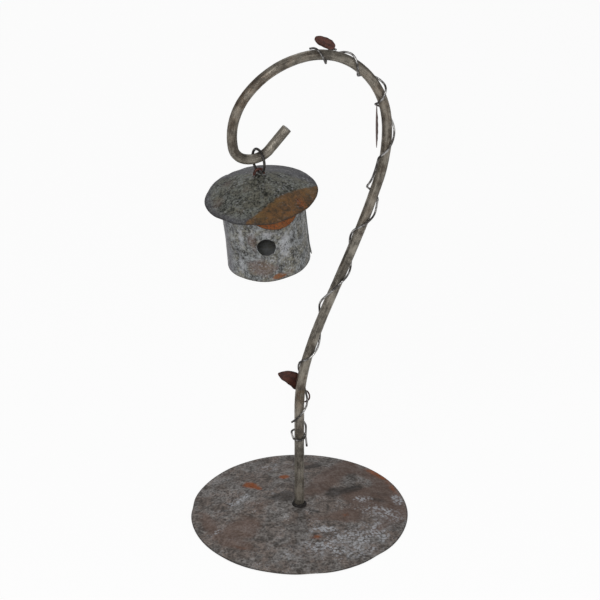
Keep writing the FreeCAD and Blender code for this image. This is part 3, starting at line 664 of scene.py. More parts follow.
def leaf_tin(tints):
    """Red-brown tin, dark along its edges and veins."""
    material, shader = new_finish("Leaf tin")
    place = shader.place()
    clouds = shader.noise(place, 210.0, 6.0, 0.68)
    grain = shader.noise(place, 1400.0, 3.0, 0.7)
    share = shader.ramp(shader.math("ADD", clouds, shader.math("MULTIPLY", grain, 0.4)), 0.52, 0.88)
    shade = shader.mix(share, tints.leaf_dark, tints.leaf_light)
    spots = shader.specks(place, 0.6, 650.0)
    shade = shader.over(shade, tints.rust_light, spots, 0.35)
    shade = shader.over(shade, tints.black, shader.field("rim"), 0.75)
    shader.surface(shade, 0.5, 0.25, shader.math("ADD", clouds, grain), 0.1 * MM)
    return material


def weld_iron(tints):
    """Dark scaly weld with brown rust."""
    material, shader = new_finish("Weld iron")
    place = shader.place()
    rust = shader.rust(place, 380.0, (tints.soot_and_shade, tints.black, tints.bar_light), 0.16)
    shader.surface(rust["Color"], 0.55, 0.4, rust["Height"], 0.25 * MM)
    return material


def solder_metal(tints):
    """Dull solder with dark flux stains."""
    material, shader = new_finish("Solder")
    place = shader.place()
    zinc = shader.zinc(place, 260.0, tints.soot_and_shade, tints.solder, tints.wall_dark, 0.4)
    shader.surface(zinc["Color"], 0.45, 0.6, zinc["Height"], 0.1 * MM)
    return material


# ---------------------------------------------------------------------------------------------
# stand

# The bar's bends from its foot to its tip: length of bar in millimetres and turn in degrees.
BENDS = (
    (93.0, 0.0), (51.5, -18.0), (48.5, -5.5), (49.0, 1.0), (58.0, 5.0), (49.5, 22.5), (56.0, 45.5),
    (42.0, 46.5), (55.5, 45.5), (43.0, 47.5), (13.5, 60.0), (22.0, 68.5), (21.0, 0.0),
)

# Marks on the disc, in millimetres and degrees: middle x and y, half length, half width, turn, weight.
DISC_SPOTS = (
    (-29.3, 43.5, 7.0, 4.6, -60.0, 1.1), (-24.5, 35.0, 4.0, 2.6, -70.0, 0.75),
    (1.1, 47.4, 5.0, 4.2, 0.0, 1.0), (1.0, -46.8, 5.0, 3.6, 0.0, 0.6), (79.0, 36.0, 17.0, 5.0, -60.0, 0.66),
    (84.0, 10.0, 12.0, 3.5, 95.0, 0.5), (-60.0, -39.0, 9.0, 2.0, -40.0, 0.4),
    (33.0, -24.0, 6.0, 4.0, 10.0, 0.42),
)
# Brown patches; the long one from the foot to the far right rim, turned 44 degrees, is painted shadow of the
# bar.
DISC_STAIN_AND_SHADOW = (
    (-52.0, -16.0, 17.0, 15.0, 15.0, 1.1), (-76.0, 4.0, 8.0, 24.0, 0.0, 0.75),
    (34.0, -26.0, 13.0, 10.0, 0.0, 0.8), (38.0, 36.0, 46.0, 11.0, 44.0, 1.1),
    (76.0, 30.0, 24.0, 9.0, -60.0, 1.1), (-60.0, -36.0, 19.0, 6.0, -40.0, 0.8),
    (64.0, -8.0, 24.0, 20.0, -20.0, 0.95), (56.0, -44.0, 20.0, 8.0, 38.0, 0.6),
    (-20.0, 60.0, 30.0, 6.0, 20.0, 0.4), (62.0, 6.0, 22.0, 10.0, 0.0, 0.8),
    (-30.0, 10.0, 16.0, 10.0, 0.0, 0.5), (10.0, -24.0, 20.0, 8.0, 0.0, 0.45),
    (22.0, 66.0, 22.0, 6.0, 0.0, 0.5), (74.0, -22.0, 10.0, 18.0, 20.0, 0.6),
)
DISC_BLOOM = (
    (82.5, -6.5, 6.5, 4.0, 80.0, 1.9), (54.3, -1.9, 8.0, 5.0, 0.0, 0.85),
    (63.0, -24.0, 22.0, 12.0, -30.0, 0.72), (7.2, -38.0, 13.0, 4.5, -10.0, 0.95),
    (-2.6, -60.0, 40.0, 14.0, 0.0, 0.66), (42.0, -56.0, 30.0, 17.0, 40.0, 0.66),
    (-49.0, 60.7, 9.0, 3.5, 30.0, 0.8), (-5.6, 72.0, 15.0, 3.5, 10.0, 0.55),
    (-8.0, 62.0, 12.0, 3.5, 20.0, 0.6), (-45.0, 25.0, 18.0, 7.0, 35.0, 0.6),
    (-75.0, -12.0, 14.0, 4.0, 20.0, 0.6), (-12.0, 22.0, 10.0, 2.5, 0.0, 0.6),
    (20.0, -52.0, 14.0, 4.0, 35.0, 0.8), (28.0, 12.0, 7.0, 2.0, 0.0, 0.5),
)
# Dark patches; those round the foot, beside it and in the wedge to the far right rim are painted shadow of
# the bar.
DISC_SOOT_AND_SHADOW = (
    (-6.0, 13.0, 9.0, 5.5, 30.0, 0.9), (9.5, -14.0, 7.5, 2.4, -45.0, 0.75), (0.0, 0.0, 9.0, 8.0, 0.0, 0.55),
    (34.0, 12.0, 13.0, 8.0, 30.0, 0.75), (52.0, 14.0, 17.0, 6.0, 20.0, 0.7),
    (-28.0, -42.0, 11.0, 3.0, 20.0, 0.65), (31.0, 60.0, 15.0, 6.0, 15.0, 0.75),
    (66.0, -6.0, 14.0, 6.0, -30.0, 0.6), (-12.0, 17.0, 12.0, 5.0, 20.0, 0.85),
    (-56.0, -50.0, 12.0, 2.5, -38.0, 0.6), (70.0, 4.0, 12.0, 5.0, -20.0, 0.45),
    (38.0, 46.0, 24.0, 6.0, 42.0, 0.35),
)


def disc_height(radius, sizes):
    """Height of the disc's upper side: a flat land, a bulging slope and a flat band.

    The slope falls evenly from land to band, plus a parabola that is a share of the fall in height.
    """
    land = sizes.disc_land
    band = sizes.disc_radius - sizes.disc_band
    share = np.clip((radius - land) / (band - land), 0.0, 1.0)
    fall = sizes.disc_top - sizes.disc_sheet
    bulge = 0.7 * fall * share * (1.0 - share)
    return sizes.disc_top - fall * share + bulge


RIM_FLATS = (-100.0, -62.0, 158.0)
CREASE_HEADING = math.radians(42.0)


def disc_surface(sizes):
    """The disc as a closed skin: its section runs out along the top and back underneath.

    Height is the dome's plus broad and small waves that fade out at the land and at the band, plus a
    low crease from the foot towards the far rim. The rim is cut a little unevenly and has two flats.
    """
    bore = sizes.bar_radius + 0.05 * MM
    edge = sizes.disc_radius
    steps = 84
    share = np.linspace(0.0, 1.0, steps)
    outward = bore + (edge - 0.35 * MM - bore) * share
    profile = np.concatenate([outward, [edge - 0.1 * MM, edge, edge, edge - 0.1 * MM], outward[::-1]])
    depth = np.concatenate([np.zeros(steps), [0.12, 0.35, 0.65, 0.88], np.ones(steps)])
    heading = round_steps(360)
    radius, around = grid(profile, heading)
    depth = np.broadcast_to(depth[:, None], radius.shape)
    circle = stack(np.cos(around), np.sin(around), 0.0 * around)
    cut = 0.22 * MM * (0.5 + 0.5 * waves(circle, 0.5, 3))
    for middle in RIM_FLATS:
        off = (around - math.radians(middle) + math.pi) % TURN - math.pi
        cut = cut + 0.9 * MM * hump(off, 0.0, 0.11)
    radius = radius - np.clip(cut, 0.0, None) * smooth(radius, edge - 12.0 * MM, edge)
    x = radius * np.cos(around)
    y = radius * np.sin(around)
    flat = stack(x, y, 0.0 * x)
    fade = smooth(radius, bore, bore + 16.0 * MM) * smooth(radius, edge - 3.0 * MM, edge - 18.0 * MM)
    dents = sizes.disc_dent * waves(flat, 75.0 * MM, 5) + 0.12 * MM * waves(flat, 17.0 * MM, 8)
    along = x * math.cos(CREASE_HEADING) + y * math.sin(CREASE_HEADING)
    across = y * math.cos(CREASE_HEADING) - x * math.sin(CREASE_HEADING)
    crease = 0.7 * MM * hump(across, 0.0, 5.0 * MM) * smooth(along, 2.0 * MM, 20.0 * MM)
    top = disc_height(radius, sizes) + fade * (dents + crease)
    lift = 0.3 * MM * np.clip(waves(circle, 0.9, 12), 0.0, 1.0)
    top = top + lift * smooth(radius, edge - 20.0 * MM, edge)
    points = stack(x, y, top - depth * sizes.disc_sheet)
    upper = depth < 0.5
    fields = {
        "spots": blot(x, y, DISC_SPOTS) * upper,
        # Brown patches, one of them painted shadow of the bar.
        "brown_patch": blot(x, y, DISC_STAIN_AND_SHADOW),
        "bloom": blot(x, y, DISC_BLOOM) * upper,
        # Dark patches with painted shadow of the bar, and a dark ring along the edge.
        "soot_and_shade": np.maximum(blot(x, y, DISC_SOOT_AND_SHADOW), 0.75 * smooth(radius, edge - 1.6 * MM, edge - 0.2 * MM)),
    }
    return points, quads(*radius.shape, close_rows=True, close_columns=True), fields


def bead_surface(inner, outer, height, seed, floor):
    """A lumpy weld bead: a flattened ring whose width and height swell with waves round the bar."""
    around, turn = grid(round_steps(96), round_steps(28))
    circle = stack(np.cos(around), np.sin(around), 0.0 * around)
    swell = waves(circle, 1.1, seed) * 0.5 + waves(circle, 0.45, seed + 1) * 0.3
    grain = waves(stack(np.cos(around), np.sin(around), np.sin(turn) * 0.4), 0.22, seed + 2)
    width = (outer - inner) * np.clip(0.8 + 0.22 * swell, 0.45, 1.0)
    rise = np.abs(height) * np.clip(0.72 + 0.3 * swell, 0.3, 1.0)
    radius = inner + width * (0.5 + 0.5 * np.cos(turn)) * (1.0 + 0.04 * grain)
    lift = np.sin(turn)
    over = lift * rise * (1.0 - 0.35 * np.cos(turn)) * (1.0 + 0.05 * grain)
    lift = np.where(lift > 0.0, over, lift * 0.4 * MM)
    up = math.copysign(1.0, height)
    points = stack(radius * np.cos(around), radius * np.sin(around), floor + up * lift)
    return points, quads(*radius.shape, close_rows=True, close_columns=True)


def bar_line(distance, foot):
    """Middle of the bar and the side that faces inside the crook, at distances along the bar.

    The heading grows evenly along each bend, and the place is the running sum of its cosine and sine.
    """
    stations = np.cumsum([0.0] + [step for step, turn in BENDS]) * MM
    headings = np.radians(90.0 + np.cumsum([0.0] + [turn for step, turn in BENDS]))
    fine = np.linspace(0.0, stations[-1], 4001)
    heading = np.interp(fine, stations, headings)
    step = fine[1] - fine[0]
    middle = 0.5 * (heading[1:] + heading[:-1])
    x = np.concatenate([[0.0], np.cumsum(np.cos(middle) * step)])
    z = foot + np.concatenate([[0.0], np.cumsum(np.sin(middle) * step)])
    turned = np.interp(distance, fine, heading)
    place = stack(np.interp(distance, fine, x), 0.0 * distance, np.interp(distance, fine, z))
    inside = stack(-np.sin(turned), 0.0 * turned, np.cos(turned))
    return place, inside


def bar_surface(sizes):
    """The bar as a tube along its middle line, dented a little, with both ends cut and closed."""
    total = sum(step for step, turn in BENDS) * MM
    steps = 372
    body = np.linspace(0.35 * MM, total - 0.35 * MM, steps)
    distance = np.concatenate([[0.0, 0.0, 0.0], body, [total, total, total]])
    shrink = np.concatenate([[0.0, 0.55, 0.93], np.ones(steps), [0.93, 0.55, 0.0]])
    along, around = grid(distance, round_steps(32))
    place, inside = bar_line(along, sizes.bar_foot)
    line = stack(along, sizes.bar_radius * np.cos(around), sizes.bar_radius * np.sin(around))
    dents = 0.009 * waves(line, 26.0 * MM, 21) + 0.006 * waves(line, 6.0 * MM, 22)
    radius = sizes.bar_radius * (0.985 + dents)
    pinch = 0.03 * hump(along, 553.0 * MM, 9.0 * MM) + 0.02 * hump(along, 572.0 * MM, 10.0 * MM)
    radius = radius * (1.0 - pinch * np.cos(around) ** 2) * shrink[:, None]
    front = np.array([0.0, -1.0, 0.0])
    points = place + inside * (radius * np.cos(around))[..., None]
    points = points + front * (radius * np.sin(around))[..., None]
    rust = 0.25 + 0.3 * hump(along, 110.0 * MM, 28.0 * MM) + 0.28 * hump(along, 360.0 * MM, 40.0 * MM)
    rust = rust + 0.3 * hump(along, 500.0 * MM, 45.0 * MM) + 0.2 * hump(along, 275.0 * MM, 25.0 * MM)
    fields = {"drawn": line, "rust": rust, "cut": 1.0 - np.broadcast_to(shrink[:, None] > 0.9, along.shape)}
    return points, quads(*along.shape, close_columns=True), fields


# The leaves, in millimetres: stem end, tip, face, width, sideways bow, cup, curl of the tip, and the
# power that shapes the outline, where a smaller one is blunter.
LEAVES = {
    "leaf_low": ((2.4, 5.2, 114.0), (-16.6, 5.0, 133.6), (0.0, -1.0, 0.12), 12.0, -3.6, 0.14, 1.6, 0.6),
    "leaf_middle": ((60.9, -1.5, 358.6), (60.6, -1.5, 322.6), (0.985, -0.174, 0.0), 8.6, 0.4, 0.08, 0.7,
                    0.8),
    "leaf_top": ((27.8, 0.0, 408.9), (12.3, -0.6, 418.4), (0.0, -1.0, 0.35), 8.0, 0.1, 0.22, -0.8, 0.36),
}


def leaf_surface(stem, tip, face, width, bow, cup, curl, power, sheet):
    """A leaf of thin tin as one closed skin.

    Along the leaf the half width is a power of a sine. Across it, a thin rounded section is bent up
    at its edges in proportion to the square of the distance from the midrib, the middle line bows
    sideways and curls, and the midrib and slanted side veins are pressed in.
    """
    stem = np.array(stem) * MM
    axis = np.array(tip) * MM - stem
    reach = np.linalg.norm(axis)
    ahead = axis / reach
    face = np.array(face) - ahead * np.dot(face, ahead)
    face = face / np.linalg.norm(face)
    across = np.cross(face, ahead)
    lengthwise = 0.5 - 0.5 * np.cos(np.linspace(0.0, math.pi, 56))
    share, turn = grid(lengthwise, round_steps(48))
    half = 0.5 * width * MM * np.sin(math.pi * np.clip(share, 0.0, 1.0)) ** power
    side = np.cos(turn)
    away = np.abs(side)
    ragged = 1.0 + 0.05 * waves(stack(share * 3.0, side, 0.0 * side), 0.9, 31)
    depth = np.sign(np.sin(turn)) * np.sqrt(np.abs(np.sin(turn))) * 0.5 * sheet
    arch = 4.0 * share * (1.0 - share)
    rib = -0.3 * MM * hump(side * half, 0.0, 0.5 * MM) * arch
    veins = 0.1 * MM * np.sin(TURN * (6.0 * share - 1.3 * away)) * arch * smooth(away, 0.1, 0.3)
    lift = cup * width * MM * side**2 * np.sin(math.pi * share) + curl * MM * share**2 + rib + veins
    middle = stem + axis * share[..., None] + across * (bow * MM * arch)[..., None]
    depth = depth * (half > 0.01 * MM)
    points = middle + across * (half * side * ragged)[..., None] + face * (lift + depth)[..., None]
    rim = smooth(away, 0.72, 0.98) + 0.6 * hump(side * half, 0.0, 0.35 * MM)
    return points, quads(*share.shape, close_columns=True), {"rim": np.clip(rim, 0.0, 1.0)}


# ---------------------------------------------------------------------------------------------
# birdhouse


def house_frame(sizes):
    """Turn and place of the birdhouse's own upright axes: leaned about the ring's wire in its eye."""
    heading = sizes.lean_heading
    turn = np.array(Matrix.Rotation(sizes.lean, 3, Vector((-math.sin(heading), math.cos(heading), 0.0))))
    held = next(joint["pos_m"] for joint in frame["joints"] if joint["name"] == "birdhouse_swing")
    eye = np.array([sizes.eye_across, sizes.eye_back, sizes.eye_height])
    return turn, np.array(held) - turn @ eye


def hung(points, sizes):
    """Points of the birdhouse's own axes in the frame."""
    turn, place = house_frame(sizes)
    return points @ turn.T + place


def slope_height(radius, sizes):
    """Height of the roof's upper side over its rim: it falls evenly from the apex."""
    return sizes.roof_height * (1.0 - radius / sizes.roof_radius)


# The rust on the roof lies beyond a straight line: its heading from the axis in degrees, its distance in mm.
RUST_HEADING = math.radians(-66.5)
RUST_DISTANCE = 24.3
# Heading of the roof's back slope, where slate paints the grey-blue cast of the light.
LIT_BACK_HEADING = math.radians(62.0)
LAP_HEADING = math.radians(112.0)

# Marks on the roof, as on the disc, about the roof's axis.
ROOF_FRESH = (
    (23.0, -30.0, 6.0, 9.0, 0.0, 0.9), (12.0, -38.0, 7.0, 3.0, 0.0, 0.6), (3.0, -28.0, 4.0, 3.0, 0.0, 0.35),
    (34.0, -18.0, 5.0, 7.0, 0.0, 0.35),
)
ROOF_OCHRE = (
    (-13.0, -33.0, 7.0, 4.0, -35.0, 1.0), (4.0, -27.0, 9.0, 3.0, 15.0, 0.7),
    (34.0, -14.0, 7.0, 8.0, 0.0, 0.8),
)
ROOF_TAN = (
    (-21.0, 16.0, 7.0, 6.0, 0.0, 0.7), (-35.0, -3.5, 6.0, 8.0, 0.0, 0.7), (-13.0, -8.0, 4.0, 4.0, 0.0, 0.6),
    (2.0, 22.0, 8.0, 5.0, 0.0, 0.4), (-24.0, -24.0, 6.0, 3.0, -40.0, 0.45),
)


def roof_surface(sizes):
    """The roof's upper skin: a cone with a slightly sunk side, dents, a lap at the back and an uneven rim.

    The lap is a step of one sheet at one heading that falls away evenly over the next 30 degrees.
    """
    share = np.linspace(0.0, 1.0, 64) ** 0.8
    heading = round_steps(300)
    share, around = grid(share, heading)
    circle = stack(np.cos(around), np.sin(around), 0.0 * around)
    rim = sizes.roof_radius - 0.35 * MM * (0.5 + 0.5 * waves(circle, 0.7, 41))
    radius = rim * share
    flat = stack(radius * np.cos(around), radius * np.sin(around), 0.0 * radius)
    outer = smooth(radius, 8.0 * MM, 20.0 * MM)
    dents = 0.28 * MM * waves(flat, 24.0 * MM, 44) + 0.09 * MM * waves(flat, 8.0 * MM, 45)
    past = (around - LAP_HEADING) % TURN
    lap = sizes.tin * (1.0 - smooth(past, math.radians(2.0), math.radians(34.0))) * smooth(past, 0.0, 0.012)
    clear = 1.0 - hump(radius, sizes.wall_radius, 3.0 * MM)
    sink = -0.35 * MM * hump(past, math.radians(150.0), 0.6) * smooth(share, 0.6, 1.0)
    wave = 0.4 * MM * waves(circle, 1.0, 47) * smooth(share, 0.82, 1.0)
    turned_down = -0.5 * MM * smooth(share, 0.965, 1.0)
    height = slope_height(radius, sizes) + outer * dents * clear + outer * lap + sink + wave + turned_down
    points = stack(flat[..., 0], flat[..., 1], height)
    x, y = flat[..., 0], flat[..., 1]
    beyond = x * math.cos(RUST_HEADING) + y * math.sin(RUST_HEADING) - RUST_DISTANCE * MM
    # Slate: a painted grey-blue cast of light on the back slope, and a band near the rim all round.
    back = x * math.cos(LIT_BACK_HEADING) + y * math.sin(LIT_BACK_HEADING)
    slate = np.maximum(0.95 * smooth(back, 4.0 * MM, 26.0 * MM), 0.7 * smooth(radius, 33.0 * MM, 42.0 * MM))
    fields = {
        "rust": smooth(beyond, -3.2 * MM, 3.2 * MM),
        "fresh": blot(x, y, ROOF_FRESH),
        "ochre": blot(x, y, ROOF_OCHRE),
        "unrolled": stack(around * 26.0 * MM, radius, 0.0 * radius),
        "slate": slate,
        "tan": blot(x, y, ROOF_TAN),
        "rim": smooth(share, 0.972, 0.995),
    }
    return hung(points, sizes), quads(*share.shape, close_columns=True), fields


def lip_surface(sizes):
    """The sheet under the brim, from the wall out to its round edge, bent down past the rim.

    Its reach at a heading is where a ray from the roof's axis meets the circle of its round edge.
    """
    swing, share = grid(np.radians(np.linspace(-34.0, 34.0, 72)), np.linspace(0.0, 1.0, 30))
    offset = sizes.lip_offset
    half_chord = np.sqrt(np.clip(sizes.lip_radius**2 - (offset * np.sin(swing)) ** 2, 0.0, None))
    reach = offset * np.cos(swing) + half_chord
    inner = sizes.wall_radius + sizes.tin + 0.4 * MM
    reach = np.maximum(reach, inner + 0.3 * MM)
    radius = inner + (reach - inner) * share
    around = sizes.lip_heading + swing
    past = np.clip(radius - (sizes.roof_radius - 0.6 * MM), 0.0, None)
    bend = -0.9 * MM * (past / (4.2 * MM)) ** 1.3
    ripple = 0.12 * MM * waves(stack(np.cos(around) * 4.0, np.sin(around) * 4.0, share), 1.1, 51) * share
    gap = sizes.tin + 0.75 * MM
    height = slope_height(radius, sizes) - gap + bend + ripple
    points = stack(radius * np.cos(around), radius * np.sin(around), height)
    return hung(points, sizes), quads(*radius.shape), {"rim": smooth(share, 0.955, 1.0)}


# Marks on the wall: heading in degrees from +X, and the rest in millimetres as on the disc.
WALL_BLOOM = (
    (-80.0, -31.0, 4.5, 11.0, 0.0, 0.95), (-101.0, -17.0, 5.0, 3.0, 0.0, 0.85),
    (-66.0, -22.0, 5.0, 6.0, 0.0, 0.55), (-141.0, -20.0, 2.8, 11.0, 0.0, 0.75),
    (-146.0, -45.0, 2.8, 10.0, 0.0, 0.75), (-97.0, -41.0, 5.0, 3.0, 0.0, 0.5),
    (-122.0, -16.0, 3.0, 7.0, 0.0, 0.45), (-40.0, -30.0, 4.0, 14.0, 0.0, 0.5),
    (60.0, -30.0, 9.0, 16.0, 0.0, 0.6), (140.0, -26.0, 6.0, 18.0, 0.0, 0.6),
)
WALL_STAIN = (
    (-118.0, -46.0, 10.0, 8.0, 0.0, 0.95), (-124.0, -22.0, 5.0, 9.0, 0.0, 0.7),
    (-102.0, -48.0, 7.0, 4.0, 0.0, 0.6), (-80.0, -55.0, 12.0, 3.0, 0.0, 0.6),
    (-174.0, -30.0, 3.0, 20.0, 0.0, 0.4), (20.0, -46.0, 12.0, 8.0, 0.0, 0.6),
    (100.0, -50.0, 12.0, 6.0, 0.0, 0.6),
)
WALL_SPOTS = (
    (-94.5, -55.2, 4.2, 2.2, 20.0, 1.0), (-86.0, -56.5, 4.0, 1.6, 0.0, 0.7),
    (30.0, -52.0, 4.0, 3.0, 0.0, 0.7),
)
# Dark patches; the long low band just under the brim, across the front, is painted shadow of the roof.
WALL_SOOT_AND_SHADOW = (
    (-153.0, -15.0, 3.0, 8.0, 0.0, 0.6), (-93.5, -36.0, 3.0, 1.8, 20.0, 0.75),
    (-61.0, -23.0, 3.0, 5.0, 0.0, 0.5), (-69.0, -36.0, 3.0, 4.0, 0.0, 0.5),
    (-44.0, -32.0, 8.0, 24.0, 0.0, 0.42), (-112.0, -4.0, 22.0, 3.0, 0.0, 0.45),
    (-150.0, -34.0, 2.0, 9.0, 0.0, 0.45),
)
WALL_MARKS = {"bloom": WALL_BLOOM, "brown_patch": WALL_STAIN, "spots": WALL_SPOTS, "soot_and_shade": WALL_SOOT_AND_SHADOW}


def unrolled_marks(marks, sizes):
    """Wall marks with their heading turned into an arc length, measured from the hole's heading."""
    wide = sizes.wall_radius / MM
    origin = math.degrees(sizes.hole_heading) - 360.0
    return tuple((math.radians(heading - origin) * wide, *rest) for heading, *rest in marks)


def wall_point(turn, height, sizes):
    """A point of the wall's outside from its turn about the axis and its height.

    The sheet starts at its free edge, one sheet further out than the end that it laps over, and steps
    in past the lap. Broad dents are pressed in, the hole's edge is turned in a little, and the free
    edge's lower corner stands off.
    """
    past = turn - sizes.seam_heading
    outer = 1.0 - smooth(past, sizes.seam_width + 0.01, sizes.seam_width + 0.1)
    wrapped = stack(np.cos(turn) * sizes.wall_radius, np.sin(turn) * sizes.wall_radius, height)
    fade = smooth(height, sizes.wall_rise, sizes.wall_rise - 9.0 * MM) * (1.0 - hump(past, 0.0, 0.5))
    fade = fade * (1.0 - hump(past, TURN, 0.6))
    dents = (0.3 * MM * waves(wrapped, 30.0 * MM, 61) + 0.08 * MM * waves(wrapped, 9.0 * MM, 62)) * fade
    arc = (turn - sizes.hole_heading + TURN) * sizes.wall_radius
    from_hole = np.hypot(arc, height + sizes.hole_drop)
    press = -0.32 * MM * hump(from_hole, sizes.hole_radius, 1.1 * MM)
    low = smooth(height, -sizes.wall_drop + 11.0 * MM, -sizes.wall_drop)
    flare = 0.8 * MM * low * (1.0 - smooth(past, 0.0, 0.2)) + 0.2 * MM * (1.0 - smooth(past, 0.0, 0.05))
    foot = 0.25 * MM * waves(stack(np.cos(turn), np.sin(turn), 0.0 * turn), 0.8, 64) * low
    lapped = outer * (sizes.tin + 0.06 * MM)
    radius = sizes.wall_radius + lapped + dents + press + flare + foot * (1.0 - outer)
    return stack(radius * np.cos(turn), radius * np.sin(turn), height)


def wall_surface(sizes):
    """The wall's outer skin: a grid of turn and height with a round hole let into it.

    The grid's square round the hole is taken out. In its place rings run from the square's edge to the
    circle, each point on the straight line between them.
    """
    half = 9.6 * MM
    cells = 22
    swing = half / sizes.wall_radius
    middle = sizes.hole_heading - TURN
    start = sizes.seam_heading - TURN
    end = sizes.seam_heading + sizes.seam_width - math.radians(0.6)
    before = np.linspace(start, middle - swing, 122)
    after = np.linspace(middle + swing, end, 104)
    turns = np.concatenate([before[:-1], np.linspace(middle - swing, middle + swing, cells + 1), after[1:]])
    lower = np.linspace(-sizes.wall_drop, -sizes.hole_drop - half, 26)
    upper = np.linspace(-sizes.hole_drop + half, sizes.wall_rise, 27)
    centre = np.linspace(-sizes.hole_drop - half, -sizes.hole_drop + half, cells + 1)
    heights = np.concatenate([lower[:-1], centre, upper[1:]])
    turn, height = grid(turns, heights)
    rows, columns = turn.shape
    faces = quads(rows, columns)
    row, column = faces[:, 0] // columns, faces[:, 0] % columns
    first_row, first_column = len(before) - 1, len(lower) - 1
    inside = (row >= first_row) & (row < first_row + cells)
    inside &= (column >= first_column) & (column < first_column + cells)
    kept, renumbered = np.unique(faces[~inside], return_inverse=True)
    outer_faces = renumbered.reshape(-1, 4)
    outer = np.stack([turn.ravel()[kept], height.ravel()[kept]], axis=-1)
    steps = np.arange(cells)
    low, high = np.zeros(cells, int), np.full(cells, cells)
    i = first_row + np.concatenate([steps, high, high - steps, low])
    j = first_column + np.concatenate([low, steps, high, high - steps])
    edge = np.stack([turns[i], heights[j]], axis=-1)
    hole = np.array([middle, -sizes.hole_drop])
    arc = (edge - hole) * (sizes.wall_radius, 1.0)
    outward = arc / np.linalg.norm(arc, axis=1, keepdims=True)
    circle = hole + outward * sizes.hole_radius / (sizes.wall_radius, 1.0)
    share = np.linspace(0.0, 1.0, 9)[:, None, None] ** 1.4
    rings = (circle * (1.0 - share) + edge * share).reshape(-1, 2)
    places, faces = join_parts((outer, outer_faces), (rings, quads(9, len(edge), close_columns=True)))
    turn, height = places[:, 0] + TURN, places[:, 1]
    points = wall_point(turn, height, sizes)
    arc = (turn - sizes.hole_heading) * sizes.wall_radius
    fields = {"unrolled": stack(arc, height, 0.0 * arc)}
    for key, marks in WALL_MARKS.items():
        fields[key] = blot(arc, height, unrolled_marks(marks, sizes))
    left = smooth(arc, -24.0 * MM, -38.0 * MM) * smooth(arc, -75.0 * MM, -50.0 * MM)
    right = smooth(arc, 48.0 * MM, 62.0 * MM) * smooth(arc, 95.0 * MM, 80.0 * MM)
    fields["slate"] = 0.75 * np.maximum(left, right)
    fields["rim"] = smooth(height, -sizes.wall_drop + 1.3 * MM, -sizes.wall_drop)
    return hung(points, sizes), faces, fields


def blob_surface(x, y, toe, height, seed, sizes):
    """A lumpy dome of solder on the roof round one leg of the eye."""
    share, around = grid(np.linspace(0.0, 1.0, 18), round_steps(40))
    lumps = 1.0 + 0.14 * waves(stack(np.cos(around), np.sin(around), share), 0.9, seed)
    radius = toe * np.cos(share * math.pi / 2.0) ** 0.7 * lumps
    across = x + radius * np.cos(around)
    back = y + radius * np.sin(around)
    under = slope_height(np.hypot(across, back), sizes) - 0.25 * MM
    lift = (height + 0.25 * MM) * np.sin(share * math.pi / 2.0) * lumps
    top = stack(across, back, under + lift)
    bottom = stack(across[::-1], back[::-1], slope_height(np.hypot(across, back), sizes)[::-1] - 0.3 * MM)
    points = np.concatenate([top[::-1], bottom[::-1]])
    return hung(points, sizes).reshape(-1, 3), quads(36, 40, close_columns=True)


def seam_bead(sizes):
    """Solder down the free edge of the wall's lap: a thin half-round bead of uneven width."""
    height, turn = grid(np.linspace(-sizes.wall_drop + 0.6 * MM, sizes.wall_rise - 1.0 * MM, 120),
                        round_steps(16))
    ends = smooth(height, -sizes.wall_drop + 0.6 * MM, -sizes.wall_drop + 3.0 * MM)
    ends = ends * smooth(height, sizes.wall_rise - 1.0 * MM, sizes.wall_rise - 3.0 * MM)
    line = stack(0.0 * height, 0.0 * height, height)
    width = MM * ends * (0.75 + 0.28 * waves(line, 7.0 * MM, 71))
    along = width * np.cos(turn)
    outward = 0.42 * width * (np.sin(turn) + 0.3)
    heading = sizes.seam_heading - 1.2 * MM / sizes.wall_radius + along / sizes.wall_radius
    radius = sizes.wall_radius + 0.12 * MM + outward
    points = stack(radius * np.cos(heading), radius * np.sin(heading), height)
    return hung(points, sizes), quads(*height.shape, close_columns=True)


# ---------------------------------------------------------------------------------------------
# operators


